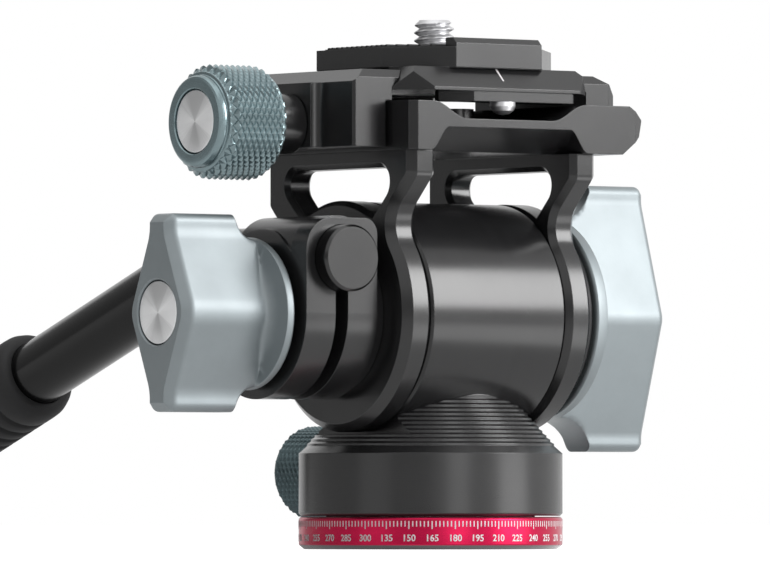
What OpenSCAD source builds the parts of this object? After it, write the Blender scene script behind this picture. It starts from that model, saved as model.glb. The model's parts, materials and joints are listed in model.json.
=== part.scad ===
// Fluid video head: panning base, damped tilt drum, yoke, dovetail clamp, release plate and handle.
// Millimetres, +Z up. The origin is the middle of the base's underside, on the pan axis.
// The tilt axis runs along X, the lens looks along -Y and the handle is at +Y.

/* [Base and pan] */
// Radius of the scale ring and the pan housing
base_r = 21; // [20.6:0.1:22]
// Width of the scale ring
ring_w = 3.5; // [3.2:0.1:3.8]
// Height of the scale ring
ring_h = 5; // [4.6:0.1:5.2]
// Open gap between the scale ring and the pan housing
pan_gap = 0.3; // [0.25:0.05:0.6]
// Height of the housing's straight side
wall_h = 9.9; // [9.5:0.1:10.1]
// Height of the shoulder under the ridged cone
shoulder_h = 1.2; // [0.8:0.1:1.4]
// Step inwards of the shoulder under the ridged cone
shoulder_in = 1.35; // [1.1:0.05:1.8]
// Number of ridges on the cone
ridge_count = 11; // [9:1:12]
// Height of one ridge
ridge_pitch = 0.68; // [0.6:0.01:0.7]
// Step inwards of one ridge
ridge_step = 0.6; // [0.5:0.01:0.62]
// Radius of the tripod socket's wall, a 3/8 inch thread
socket_r = 4.7625; // [4.7:0.0125:4.8]
// Depth of the tripod socket
socket_len = 10.5; // [9.5:0.1:11]
// Radius of the pan post
post_r = 7; // [6.9:0.05:7.1]

/* [Pan lock] */
// How far the pan lock's axis lies below the top of the post
lock_drop = 1.85; // [1.75:0.05:2]
// Radius of the pan lock knob
pan_knob_r = 7.6; // [7:0.1:8]
// Gap between the housing and the knob's inner face
pan_knob_gap = 1.5; // [1.2:0.1:2.5]
// Length of the pan lock knob
pan_knob_len = 11.5; // [10:0.1:12]

/* [Tilt drum and yoke] */
// Gap between the pan post and the drum above it
drum_gap = 0.65; // [0.5:0.05:0.8]
// Radius of the drum
drum_r = 18; // [17.5:0.05:18.5]
// Half length of the drum
drum_half = 13.3; // [13:0.05:13.8]
// Gap between the drum and each arm
arm_gap = 0.2; // [0.2:0.05:0.3]
// Thickness of each arm
arm_t = 5.2; // [5:0.05:5.6]
// How far the arm's round end stands over the drum
arm_over = 0.5; // [0.3:0.05:0.6]
// Chamfer round the arm's outer edge
arm_cham = 1.3; // [0.8:0.1:1.5]
// Chamfer round the arm's inner edge
inner_cham = 0.95; // [0.5:0.05:1.1]
// Half width of the yoke at its waist
waist_y = 12; // [11.6:0.1:12.6]
// Reach of the yoke's front feet
foot_y = 19.5; // [19:0.1:19.8]
// Reach of the yoke's rear legs
rear_y = 18.4; // [17:0.1:18.6]
// Height above the tilt axis where the slanted front flanks end
foot_rise = 21.6; // [21.5:0.1:22.5]
// Height of the yoke above the tilt axis
yoke_rise = 25.7; // [25.2:0.1:26.5]
// Thickness of the rail over the window in each arm
rail_t = 2.4; // [2:0.1:2.8]
// Thickness of the strap that joins the arms, sunk into the clamp
strap_t = 1.2; // [1:0.05:1.3]
// Half width of the window in each arm
window_y = 13.2; // [12:0.1:13.4]

/* [Tilt lock] */
// Radius of the pressure plate
press_r = 16.2; // [15.5:0.1:16.4]
// Outer radius of the large wing knob
wing_r = 21.4; // [20.5:0.1:22]
// Half width of the large wing at its ridge
wing_half = 8.7; // [8:0.1:9]
// Radius of the large knob's collar
wing_collar_r = 16.4; // [15.8:0.1:16.6]
// Length of the large wing knob
wing_len = 20.3; // [19:0.1:21]

/* [Handle] */
// Radius of the hub's round lower half
hub_r = 13.4; // [13:0.1:13.6]
// Width of the hub along the tilt axis
hub_w = 13.8; // [13.4:0.1:14]
// Thickness of the hub over the rod
hub_wall = 1.15; // [0.95:0.05:1.5]
// Thickness of the hub's front plate
hub_plate = 4; // [3.5:0.1:5]
// How far the hub's sleeve reaches behind the tilt axis
sleeve_y = 6.5; // [5:0.1:9]
// Width of the hub's clamping slot
slot_w = 2.4; // [2:0.1:2.6]
// Radius of the handle rod
rod_r = 5.25; // [5:0.01:5.3]
// Gap between the rod and the stud below it
rod_clear = 0.35; // [0.3:0.05:0.5]
// How far the rod stands out in front of the hub
rod_front = 2.9; // [2:0.1:4]
// Angle by which the rod bends down
bend_deg = 20; // [16:0.5:20]
// Length of the slanted part of the rod
slant_len = 100; // [80:1:100]
// Radius of the grip
grip_r = 7.4; // [6.8:0.1:7.4]
// Length of the grip
grip_len = 54; // [50:1:66]
// Outer radius of the small wing knob
small_wing_r = 15.5; // [15:0.05:16]
// Half width of the small wing at its ridge
small_wing_half = 8; // [7.6:0.1:8.4]
// Radius of the small knob's collar
small_collar_r = 12; // [11.5:0.1:12.4]
// Length of the small wing knob
small_wing_len = 18.2; // [18:0.1:19]

/* [Clamp] */
// Height of the clamp body
clamp_h = 7.7; // [7.4:0.05:8]
// Half depth of the clamp body
clamp_y = 20.8; // [20.4:0.1:21]
// Depth of the clamp's channel
channel_d = 2.7; // [2.5:0.05:2.9]
// Height of both jaws over the clamp body
jaw_h = 5; // [4.6:0.1:5]
// Thickness of the fixed jaw with the body's end
jaw_t = 7.1; // [6.8:0.1:7.4]
// Half length of the fixed jaw
jaw_y = 14.5; // [14:0.1:15]
// Half length of the moving jaw
move_y = 14.6; // [14:0.1:15]
// Thickness of the moving jaw
move_t = 6.2; // [6:0.1:6.5]
// Height of the clamp screw's axis over the yoke
screw_rise = 4.3; // [4.1:0.05:4.4]
// Radius of the clamp knob
clamp_knob_r = 9.05; // [8.6:0.05:9.2]
// Length of the clamp knob
clamp_knob_len = 12; // [11:0.1:12.4]

/* [Plate and camera screw] */
// Offset of the plate towards the fixed jaw
plate_x = 0.7; // [0.65:0.01:0.72]
// Half width of the plate's upper platform
top_half = 17; // [16.6:0.1:17.2]
// Corner cut of the upper platform
top_cut = 8.5; // [7.5:0.1:9]
// Thickness of the upper platform
top_t = 3.2; // [3:0.1:3.4]
// Half width over the dovetail, a 38 mm type rail
tail_half = 19.3; // [19.2:0.05:19.4]
// Height of the dovetail's slope
tail_rise = 3.3; // [3:0.1:3.5]
// Radius of the camera's screw, a 1/4 inch thread
cam_r = 3.175; // [3.15:0.005:3.2]
// How far the screw stands out of the pad
cam_len = 4.5; // [3.8:0.1:6.3]

/* [Hidden] */
$fn = 96;
run = 0.05;
face_gap = 0.05;
loose = 0.3;
// Pan post, its bearing and the lock
ring_in = base_r - ring_w;
bush_wall = 1.2375;
bush_r = socket_r + bush_wall;
recess_in = bush_r + 2.5;
recess_out = ring_in - 2.5;
recess_d = 0.8;
neck_r = post_r - 2.5;
post_roof = 3.55;
post_top = socket_len + post_roof;
washer_t = 1;
nut_t = 3;
well_r = post_r + 2;
washer_r = well_r - loose;
nut_r = washer_r - 1.2;
neck_top = post_top + washer_t + nut_t + 0.3;
pan_low = ring_h + pan_gap;
pan_bush_r = post_r + 2;
ledge_t = 1;
ledge_low = post_top - face_gap - ledge_t;
ledge_r = post_r + loose;
wall_top = pan_low + wall_h;
cone_low = wall_top + shoulder_h;
cone_r = base_r - shoulder_in;
cone_end = cone_r - ridge_count * ridge_step;
seal_out = base_r - 4.4;
seal_in = base_r - 6.6;
seal_d = 1.6;
pan_lock_z = post_top - lock_drop;
pan_knob_y = base_r + pan_knob_gap;
pan_nut_len = pan_knob_len - 2;
shoe_r = 1.6;
shoe_gap = 0.45;
shoe_len = 5.6;
lock_r = 2.5;
lock_in = post_r + shoe_gap + shoe_len + face_gap;
// Tilt drum and what turns in it
tilt_z = neck_top + drum_gap + drum_r;
arm_in = drum_half + arm_gap;
arm_out = arm_in + arm_t;
arm_r = drum_r + arm_over;
arm_clear = 0.4;
floor_z = tilt_z - arm_r - arm_clear;
saddle_z = tilt_z - drum_r + 8;
drum_bore = drum_r - 4;
cap_in = drum_half - 4;
rotor_half = cap_in - 0.4;
rotor_r = drum_bore - 0.4;
shaft_r = 5;
bush_out = shaft_r + 2;
seal_end = drum_half - 2.3;
fric_in = drum_r - 2.8;
fric_out = drum_r - 0.8;
fric_x = drum_half - 0.5;
drum_screw_x = drum_half - 2.6;
drum_screw_r = 1;
drum_head_r = 1.9;
drum_head_z = tilt_z - drum_bore - 2;
drum_head_t = 1.7;
// Yoke
foot_z = tilt_z + foot_rise;
waist_z = foot_z - foot_y + waist_y;
rear_z = foot_z - 4.5;
rear_low = rear_z - rear_y + waist_y;
flank_soft = 0.7;
yoke_top = tilt_z + yoke_rise;
window_top = yoke_top - rail_t;
window_low = tilt_z + 16.3;
window_low_y = 9;
window_turn = window_low + 3.5;
window_r = 2.5;
window_bend = 2;
strap_x = arm_in + 2;
strap_sink = 0.5;
// Tilt lock
right_stud_r = 4;
left_stud_r = 3;
press_x = arm_out + face_gap;
press_t = 1.75;
wing_x = press_x + press_t + 0.4;
wing_end = wing_x + wing_len;
wing_tip = 3;
wing_nut_r = wing_half - 1.2;
wing_nut_len = wing_len - 7.3;
disc_r = 5.15;
disc_t = 0.9;
// Handle
rosette_t = 1.95;
rosette_r = hub_r - 0.9;
hub_in = -(arm_out + rosette_t + face_gap);
hub_out = hub_in - hub_w;
rod_x = hub_in - hub_w / 2;
rod_z = tilt_z + left_stud_r + rod_clear + rod_r;
hub_top = rod_z + rod_r + hub_wall;
hub_round = 5;
hub_soft = 2.5;
sleeve_r = hub_w / 2 - 0.15;
sleeve_cut = 0.6;
hub_washer_t = 0.9;
hub_washer_r = 9;
small_in = hub_out - hub_washer_t - 0.1;
small_end = small_in - small_wing_len;
small_nut_r = small_wing_half - 2;
small_nut_len = small_wing_len - 6.8;
bend_r = 22;
corner_y = hub_r + 9;
tangent = bend_r * tan(bend_deg / 2);
bend_y = corner_y - tangent;
slant_y = corner_y + tangent * cos(bend_deg);
slant_z = rod_z - tangent * sin(bend_deg);
grip_from = slant_len - grip_len;
grip_cap_t = 3;
// Clamp
clamp_top = yoke_top + clamp_h;
channel_z = clamp_top - channel_d;
jaw_top = clamp_top + jaw_h;
screw_z = yoke_top + screw_rise;
dip_in = 8.4;
dip_out = 15.2;
scoop_d = 3.7;
scoop_z = yoke_top + scoop_d;
scoop_in = 12;
scoop_out = 15.6;
scoop_y = clamp_y - 6;
strap_y = scoop_y - 0.8;
tail_low = clamp_top + 1.8;
tail_edge = tail_low + 0.5;
jaw_gap = 0.1;
fixed_in = plate_x + tail_half + jaw_gap;
move_in = plate_x - tail_half - jaw_gap;
jaw_rise = jaw_top - tail_edge;
clamp_left = move_in - 0.6;
clamp_right = fixed_in + jaw_t;
jaw_out = clamp_right - 0.9;
move_gap = 0.7;
move_low = yoke_top + 0.5;
move_face = clamp_left - move_gap;
move_out = move_face - move_t;
move_bevel = 2;
boss_half = 5.5;
boss_round = 1.7;
boss_end = move_out - boss_round;
boss_top = jaw_top - move_bevel;
clamp_collar_r = boss_half - 0.7;
clamp_collar_len = 6.6;
knob_in = boss_end - jaw_gap - clamp_collar_len;
knob_end = knob_in - clamp_knob_len;
knob_wall = 2;
screw_r = 2.5;
screw_end = -11;
pin_r = 1.5;
pin_y = 10;
pin_z = screw_z - 1.2;
pin_end = -9;
bolt_y = 7;
bolt_r = 1.5;
bolt_head_r = 2.6;
bolt_head_t = 2.1;
// Plate and camera screw
plate_mid = tail_edge + tail_rise;
top_z = plate_mid + top_t;
tail_cut = 4.8;
rim_low = clamp_top + 0.2;
rim_near = -6.5;
rim_far = tail_half - 5.1;
rim_y = tail_half - 0.3;
rim_depth = 5;
lip_half = top_half / 2;
lip_z = top_z + 1.5;
lip_t = 2.8;
pad_z = top_z + 0.5;
pad_hole_r = 5;
stop_y = rim_y - 1.1;
stop_top = tail_edge + 0.25;
stop_shank_r = 0.9;
stop_r = 2;
head_r = 8;
head_low = tail_low + 0.3;
head_top = head_low + 2.7;
neck_cam_r = cam_r - 0.575;
thread_low = pad_z + 0.2;
cam_tip = pad_z + cam_len;

// Turns a shape drawn along Z so that it runs along X at the tilt axis
module on_tilt_axis() {
    translate([0, 0, tilt_z]) rotate([0, 90, 0]) children();
}

// Turns a shape drawn along Z so that it runs along X at the clamp screw's axis
module on_screw_axis() {
    translate([0, 0, screw_z]) rotate([0, 90, 0]) children();
}

// Turns a shape drawn along Z so that it runs along Y at the pan lock's axis
module on_lock_axis() {
    translate([0, 0, pan_lock_z]) rotate([-90, 0, 0]) children();
}

// Round bar from one place to another along Z
module bar(r, from, to) {
    translate([0, 0, min(from, to)]) cylinder(r = r, h = abs(to - from));
}

// Ring from one place to another along Z
module tube(r_out, r_in, from, to) {
    difference() {
        bar(r_out, from, to);
        bar(r_in, min(from, to) - 1, max(from, to) + 1);
    }
}

// Y and Z profile pushed along X
module along_x(from, to) {
    translate([min(from, to), 0, 0]) rotate([90, 0, 90]) linear_extrude(abs(to - from)) children();
}

// X and Z profile pushed along Y
module along_y(from, to) {
    translate([0, max(from, to), 0]) rotate([90, 0, 0]) linear_extrude(abs(to - from)) children();
}

// Square with its corners cut at 45 degrees
module cut_square(half, cut) {
    polygon([[-half, -half + cut], [-half + cut, -half], [half - cut, -half], [half, -half + cut],
        [half, half - cut], [half - cut, half], [-half + cut, half], [-half, half - cut]]);
}

// Lifts the slanted part of the handle off the upright
module on_slant() {
    translate([rod_x, slant_y, slant_z]) rotate([-(90 + bend_deg), 0, 0]) children();
}

module base_plate() {
    color([0.09, 0.09, 0.1]) rotate_extrude() polygon([
        [bush_r, 0], [recess_in, 0], [recess_in, recess_d], [recess_out, recess_d], [recess_out, 0],
        [ring_in, 0], [ring_in, ring_h],
        [post_r, ring_h], [post_r, post_top], [neck_r, post_top], [neck_r, neck_top], [0, neck_top],
        [0, socket_len], [bush_r, socket_len]]);
}

module scale_ring() {
    color([0.6, 0.02, 0.12]) rotate_extrude() polygon([
        [ring_in, 0], [base_r - 0.9, 0], [base_r, 0.7], [base_r, ring_h - 0.35],
        [base_r - 0.35, ring_h], [ring_in, ring_h]]);
}

module thread_bush() {
    color([0.6, 0.6, 0.62]) tube(bush_r, socket_r, 0, socket_len);
}

module pan_washer() {
    color([0.6, 0.5, 0.3]) tube(washer_r, neck_r, post_top, post_top + washer_t);
}

module pan_nut() {
    color([0.6, 0.6, 0.62]) difference() {
        translate([0, 0, post_top + washer_t]) cylinder(r = nut_r, h = nut_t, $fn = 6);
        bar(neck_r, 0, tilt_z);
    }
}

// Points of one ridge of the cone
function ridge(i) = [
    [cone_r - i * ridge_step, cone_low + i * ridge_pitch],
    [cone_r - i * ridge_step, cone_low + (i + 0.5) * ridge_pitch]];

module pan_housing() {
    color([0.05, 0.05, 0.055]) difference() {
        rotate_extrude() polygon(concat(
            [[pan_bush_r, pan_low], [seal_in, pan_low], [seal_in, pan_low + seal_d],
                [seal_out, pan_low + seal_d], [seal_out, pan_low], [base_r - 0.4, pan_low],
                [base_r, pan_low + 0.4], [base_r, wall_top]],
            [for (i = [0 : ridge_count - 1]) each ridge(i)],
            [[cone_end, cone_low + ridge_count * ridge_pitch], [cone_end, saddle_z], [well_r, saddle_z],
                [well_r, post_top - face_gap], [ledge_r, post_top - face_gap],
                [ledge_r, ledge_low], [pan_bush_r, ledge_low]]));
        on_tilt_axis() bar(drum_r, -base_r, base_r);
        for (s = [-1, 1]) {
            translate([s * (drum_half + base_r) - base_r, -base_r, floor_z]) cube(2 * base_r);
            translate([s * drum_screw_x, 0, 0]) bar(drum_screw_r, post_top, tilt_z);
        }
        on_lock_axis() bar(shoe_r + run, 0, lock_in);
        on_lock_axis() bar(lock_r + run, lock_in - 0.8, base_r + 1);
    }
}

module pan_bush() {
    color([0.6, 0.45, 0.22]) difference() {
        tube(pan_bush_r, post_r + run, pan_low, ledge_low);
        on_lock_axis() bar(shoe_r + run, 0, base_r);
    }
}

module pan_seal() {
    color([0.03, 0.03, 0.03]) tube(seal_out, seal_in, ring_h + face_gap, pan_low + seal_d);
}

module drum() {
    color([0.05, 0.05, 0.055]) difference() {
        on_tilt_axis() rotate_extrude() polygon([
            [drum_bore, -drum_half], [fric_in, -drum_half], [fric_in, -fric_x], [fric_out, -fric_x],
            [fric_out, -drum_half], [drum_r - 0.4, -drum_half], [drum_r, 0.4 - drum_half],
            [drum_r, drum_half - 0.4], [drum_r - 0.4, drum_half], [fric_out, drum_half],
            [fric_out, fric_x], [fric_in, fric_x], [fric_in, drum_half], [drum_bore, drum_half]]);
        for (s = [-1, 1]) {
            translate([s * drum_screw_x, 0, 0]) bar(drum_screw_r, 0, tilt_z);
            translate([s * drum_screw_x, 0, 0]) bar(drum_head_r, drum_head_z, tilt_z);
        }
    }
}

module drum_screws() {
    color([0.6, 0.6, 0.62]) for (s = [-1, 1]) translate([s * drum_screw_x, 0, 0]) {
        bar(drum_screw_r, post_top + 0.5, drum_head_z);
        bar(drum_head_r, drum_head_z, drum_head_z + drum_head_t);
    }
}

module drum_caps() {
    color([0.3, 0.3, 0.32]) on_tilt_axis() for (s = [-1, 1]) {
        tube(drum_bore, bush_out, s * cap_in, s * drum_half);
    }
}

module tilt_bushes() {
    color([0.6, 0.45, 0.22]) on_tilt_axis() for (s = [-1, 1]) {
        tube(bush_out, shaft_r + run, s * seal_end, s * drum_half);
    }
}

module damper_seals() {
    color([0.03, 0.03, 0.03]) on_tilt_axis() for (s = [-1, 1]) {
        tube(bush_out, shaft_r + run, s * cap_in, s * seal_end);
    }
}

module friction_rings() {
    color([0.5, 0.4, 0.3]) on_tilt_axis() for (s = [-1, 1]) {
        tube(fric_out, fric_in, s * fric_x, s * (arm_in - 0.1));
    }
}

module pan_knob() {
    color([0.2, 0.28, 0.3]) on_lock_axis() difference() {
        translate([0, 0, pan_knob_y]) rotate_extrude() polygon([
            [0, 0], [pan_knob_r - 1.4, 0], [pan_knob_r, 1], [pan_knob_r, pan_knob_len - 1.2],
            [pan_knob_r - 1.2, pan_knob_len], [0, pan_knob_len]]);
        bar(lock_r, 0, pan_knob_y + pan_nut_len);
    }
}

module pan_lock_screw() {
    color([0.6, 0.6, 0.62]) on_lock_axis() bar(lock_r, lock_in, pan_knob_y + pan_nut_len);
}

module pan_brake_shoe() {
    color([0.6, 0.45, 0.22]) difference() {
        on_lock_axis() bar(shoe_r, post_r - 1, post_r + shoe_gap + shoe_len);
        bar(post_r + shoe_gap, 0, tilt_z);
    }
}

// Side view of one arm over its round end: the front leg flares out to its foot, the rear leg is upright
module arm_side() {
    polygon([[-waist_y, tilt_z], [-waist_y, waist_z - flank_soft],
        [-waist_y - flank_soft, waist_z + flank_soft], [flank_soft - foot_y, foot_z - flank_soft],
        [-foot_y, foot_z + flank_soft], [-foot_y, yoke_top], [rear_y, yoke_top], [rear_y, rear_z],
        [waist_y, rear_low], [waist_y, tilt_z]]);
}

// Wedge along an edge in the Y and Z plane at x: side is the way out along X, way the solid's side
module edge_cut(from, to, x, side, way, c) {
    run_y = to[0] - from[0];
    run_z = to[1] - from[1];
    translate([x, from[0], from[1]]) rotate([atan2(run_z, run_y), 0, 0])
        along_y(0, norm([run_y, run_z])) polygon([[-side * c, 0], [0, way * c], [side, way * c],
            [side, -way], [-side * c, -way]]);
}

// One arm of the yoke, at the right
module arm() {
    difference() {
        union() {
            on_tilt_axis() rotate_extrude() polygon([[0, arm_in], [arm_r - inner_cham, arm_in],
                [arm_r, arm_in + inner_cham], [arm_r, arm_out - arm_cham],
                [arm_r - arm_cham, arm_out], [0, arm_out]]);
            along_x(arm_in, arm_out) arm_side();
        }
        for (e = [[arm_out, 1, arm_cham], [arm_in, -1, inner_cham]]) {
            edge_cut([-waist_y, waist_z], [-foot_y, foot_z], e[0], e[1], -1, e[2]);
            edge_cut([-foot_y, foot_z], [-foot_y, yoke_top], e[0], e[1], -1, e[2]);
            edge_cut([waist_y, rear_low], [rear_y, rear_z], e[0], e[1], 1, e[2]);
            edge_cut([rear_y, rear_z], [rear_y, yoke_top], e[0], e[1], 1, e[2]);
        }
    }
}

// Points of a round of radius r at the corner p, on the way from a to b
function rounded(p, a, b, r) = let(
    u = (a - p) / norm(a - p),
    v = (b - p) / norm(b - p),
    half = acos(u * v) / 2,
    middle = p + (u + v) / norm(u + v) * r / sin(half),
    arm = p + u * r / tan(half) - middle,
    turn = sign(cross(u, v)) * (2 * half - 180) / 12)
    [for (i = [0 : 12]) middle + [cos(i * turn) * arm[0] - sin(i * turn) * arm[1],
        sin(i * turn) * arm[0] + cos(i * turn) * arm[1]]];

// Window between the arm's round end and its top rail
module window() {
    top_corner = [window_y, window_top];
    bend = [window_y, window_turn];
    low_corner = [window_low_y, window_low];
    difference() {
        for (s = [0, 1]) mirror([s, 0]) polygon(concat([[-1, window_low], [-1, window_top]],
            rounded(top_corner, [0, window_top], bend, window_r),
            rounded(bend, top_corner, low_corner, window_bend), [low_corner]));
        translate([0, tilt_z]) circle(r = drum_r + 0.1);
    }
}

// Strap that joins the arms, seen along Y
module strap() {
    polygon([[-strap_x, yoke_top - strap_sink], [-strap_x, yoke_top + strap_t], [strap_x, yoke_top + strap_t],
        [strap_x, yoke_top - strap_sink], [arm_in, yoke_top - strap_sink], [arm_in, yoke_top],
        [-arm_in, yoke_top], [-arm_in, yoke_top - strap_sink]]);
}

module yoke() {
    color([0.05, 0.05, 0.055]) difference() {
        union() {
            arm();
            mirror([1, 0, 0]) arm();
            along_y(-strap_y, strap_y) strap();
        }
        along_x(-arm_out - 1, arm_out + 1) window();
        on_tilt_axis() bar(shaft_r, -arm_out - 1, arm_out + 1);
        for (s = [-1, 1]) translate([0, s * bolt_y, 0]) bar(bolt_r, tilt_z, yoke_top + strap_t + 1);
    }
}

module tilt_shaft() {
    color([0.62, 0.62, 0.64]) on_tilt_axis() {
        bar(shaft_r, -arm_out, arm_out);
        bar(left_stud_r, -arm_out, small_in - small_nut_len + 1);
        bar(right_stud_r, arm_out, wing_x + wing_nut_len);
    }
}

module damper_rotor() {
    color([0.55, 0.56, 0.58]) on_tilt_axis() tube(rotor_r, shaft_r, -rotor_half, rotor_half);
}

// Half of the smooth step between two heights
function swell(x0, x1, z0, z1) = [for (i = [0 : 8])
    [x0 + (x1 - x0) * i / 8, z0 + (z1 - z0) * (1 - cos(180 * i / 8)) / 2]];

// Wedge that takes an upright corner off, dx along X and dy along Y
module corner_cut(x, y, dx, dy) {
    linear_extrude(2 * jaw_top) polygon([[x + dx, y], [x + dx, y + dy], [x - dx, y + dy],
        [x - dx, y - dy], [x, y - dy]]);
}

// Jaw at the right with its dovetail, rounded off outwards and at both ends
module fixed_jaw() {
    difference() {
        along_y(-jaw_y, jaw_y) polygon([
            [fixed_in, clamp_top - 1], [fixed_in, tail_edge], [fixed_in - jaw_rise, jaw_top],
            [jaw_out - 3.8, jaw_top], [jaw_out - 1.4, jaw_top - 1.3], [jaw_out, jaw_top - 3],
            [jaw_out, clamp_top - 3], [fixed_in, clamp_top - 3]]);
        for (s = [-1, 1]) {
            end_cut(s * jaw_y, s * 1.3);
            corner_cut(jaw_out, s * jaw_y, -1.6, s * 0.9);
        }
    }
}

// Wedge along X that takes the upper edge off a jaw's end
module end_cut(y, d) {
    along_x(-2 * clamp_right, 2 * clamp_right) polygon([[y - d, jaw_top], [y - d, jaw_top + abs(d)],
        [y + d, jaw_top + abs(d)], [y + d, jaw_top - abs(d)], [y, jaw_top - abs(d)]]);
}

module clamp_body() {
    color([0.05, 0.05, 0.055]) difference() {
        union() {
            along_y(-clamp_y, clamp_y) polygon(concat(
                [[clamp_left, clamp_top], [clamp_left, yoke_top], [clamp_right - 4.6, yoke_top],
                    [clamp_right - 0.8, yoke_top + 2.9], [clamp_right, clamp_top - 2.4],
                    [clamp_right, clamp_top - 2.1], [clamp_right - 3.2, clamp_top]],
                swell(dip_out, dip_in, clamp_top, channel_z),
                swell(-dip_in, -dip_out, channel_z, clamp_top)));
            fixed_jaw();
        }
        for (s = [-1, 1]) {
            intersection() {
                along_y(s * scoop_y, s * (clamp_y + 1)) polygon(concat(
                    [[scoop_out, yoke_top - 1]], swell(scoop_out, scoop_in, yoke_top, scoop_z),
                    swell(-scoop_in, -scoop_out, scoop_z, yoke_top), [[-scoop_out, yoke_top - 1]]));
                along_x(-scoop_out - 1, scoop_out + 1) polygon([
                    [s * (clamp_y + 2), yoke_top - 2], [s * (clamp_y + 2), scoop_z + 1],
                    [s * clamp_y, scoop_z], [s * scoop_y, yoke_top], [s * scoop_y, yoke_top - 2]]);
            }
            translate([0, s * bolt_y, 0]) bar(bolt_r, tilt_z, jaw_top);
            translate([0, s * pin_y, pin_z]) rotate([0, 90, 0]) bar(pin_r + run, clamp_left - 1, pin_end + 3);
            corner_cut(clamp_left, s * clamp_y, 1.1, s * 1.1);
            corner_cut(clamp_right, s * clamp_y, -2, s * 1.1);
        }
        on_screw_axis() bar(screw_r + run, clamp_left - 1, screw_end + 3);
        translate([-strap_x - run, -strap_y - run, yoke_top - 1])
            cube([2 * (strap_x + run), 2 * (strap_y + run), 1 + strap_t + run]);
    }
}

module clamp_bolts() {
    color([0.6, 0.6, 0.62]) for (s = [-1, 1]) translate([0, s * bolt_y, 0]) {
        bar(bolt_r, yoke_top, channel_z);
        bar(bolt_head_r, channel_z, channel_z + bolt_head_t);
    }
}

module hub_rosette() {
    color([0.1, 0.1, 0.11]) on_tilt_axis() tube(rosette_r, left_stud_r, -arm_out, -arm_out - rosette_t);
}

module pressure_plate() {
    color([0.05, 0.05, 0.055]) on_tilt_axis() difference() {
        rotate_extrude() polygon([[0, press_x], [press_r, press_x], [press_r, press_x + 0.7],
            [press_r - 0.5, press_x + 1], [press_r - 0.5, press_x + press_t], [0, press_x + press_t]]);
        bar(right_stud_r + run, 0, wing_end);
    }
}

// End view of a wing knob, a long hexagon with flat tips
module wing_outline(half, r, tip) {
    polygon([[-half, 0], [-tip, r - 1], [1 - tip, r], [tip - 1, r], [tip, r - 1], [half, 0],
        [tip, 1 - r], [tip - 1, -r], [1 - tip, -r], [-tip, 1 - r]]);
}

// Quarter of an ellipse that starts along Z and ends along R
function flare(r0, r1, z0, z1) = [for (i = [0 : 8])
    [r0 + (r1 - r0) * (1 - cos(90 * i / 8)), z0 + (z1 - z0) * sin(90 * i / 8)]];

// Quarter of an ellipse that starts along R and ends along Z
function fillet(r0, r1, z0, z1) = [for (i = [0 : 8])
    [r0 + (r1 - r0) * sin(90 * i / 8), z0 + (z1 - z0) * (1 - cos(90 * i / 8))]];

// Wing knob along +Z from its collar: the wing flares out of the collar and its end edges slant off
module wing_knob(half, r, tip, len, collar_r, collar_len, flare_len, fillet_len, slant) {
    intersection() {
        rotate([0, 0, 90]) linear_extrude(len - slant) wing_outline(half, r, tip);
        rotate_extrude() polygon(concat([[0, 0], [collar_r, 0]],
            flare(collar_r, r + 0.5, collar_len, flare_len), [[r + 0.5, len], [0, len]]));
    }
    rotate([0, 0, 90]) hull() {
        translate([0, 0, len - slant - 0.02]) linear_extrude(0.02) wing_outline(half, r, tip);
        translate([0, 0, len - 0.02]) linear_extrude(0.02)
            wing_outline(half - slant, r - slant * 0.8, tip - slant * 0.5);
    }
    rotate_extrude() polygon(concat([[0, 0], [collar_r - 0.5, 0], [collar_r, 0.5]],
        fillet(collar_r, half - 0.6, collar_len, fillet_len), [[0, fillet_len]]));
}

module tilt_knob() {
    color([0.62, 0.66, 0.68]) on_tilt_axis() difference() {
        translate([0, 0, wing_x])
            wing_knob(wing_half, wing_r, wing_tip, wing_len, wing_collar_r, 2.2, 8.9, 6.5, 1.4);
        bar(wing_nut_r, wing_x - 1, wing_x + wing_nut_len);
        bar(disc_r, wing_end - disc_t, wing_end + 1);
    }
}

module tilt_knob_nut() {
    color([0.6, 0.6, 0.62]) on_tilt_axis()
        tube(wing_nut_r, right_stud_r + run, wing_x, wing_x + wing_nut_len);
}

module tilt_knob_disc() {
    color([0.7, 0.7, 0.7]) on_tilt_axis() bar(disc_r, wing_end - disc_t, wing_end);
}

// Front view of the hub with rounded upper corners
module hub_front() {
    union() {
        translate([hub_out, tilt_z - hub_r]) square([hub_w, hub_top - hub_round - tilt_z + hub_r]);
        translate([hub_out + hub_round, hub_top - hub_round - 1])
            square([hub_w - hub_round - hub_soft, hub_round + 1]);
        translate([hub_in - hub_soft, hub_top - hub_round - 1])
            square([hub_soft, hub_round + 1 - hub_soft]);
        translate([hub_out + hub_round, hub_top - hub_round]) circle(r = hub_round);
        translate([hub_in - hub_soft, hub_top - hub_soft]) circle(r = hub_soft);
    }
}

module handle_hub() {
    color([0.05, 0.05, 0.055]) difference() {
        union() {
            intersection() {
                along_y(-hub_r, hub_r) hub_front();
                union() {
                    on_tilt_axis() bar(hub_r, hub_out, hub_in);
                    translate([hub_out, -hub_r, tilt_z]) cube([hub_w, hub_plate, hub_r * 2]);
                }
            }
            translate([rod_x, 0, rod_z]) rotate([-90, 0, 0]) rotate_extrude() polygon([
                [0, 1 - hub_r], [sleeve_r, 1 - hub_r], [sleeve_r, sleeve_y - sleeve_cut],
                [sleeve_r - sleeve_cut, sleeve_y], [0, sleeve_y]]);
        }
        on_tilt_axis() bar(left_stud_r + run, hub_out - 1, 0);
        translate([rod_x, 0, rod_z]) rotate([-90, 0, 0]) bar(rod_r + run, -hub_r - 1, hub_r + 1);
        translate([rod_x - slot_w / 2, -2 * hub_r, 0]) cube([slot_w, 4 * hub_r, rod_z]);
    }
}

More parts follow.
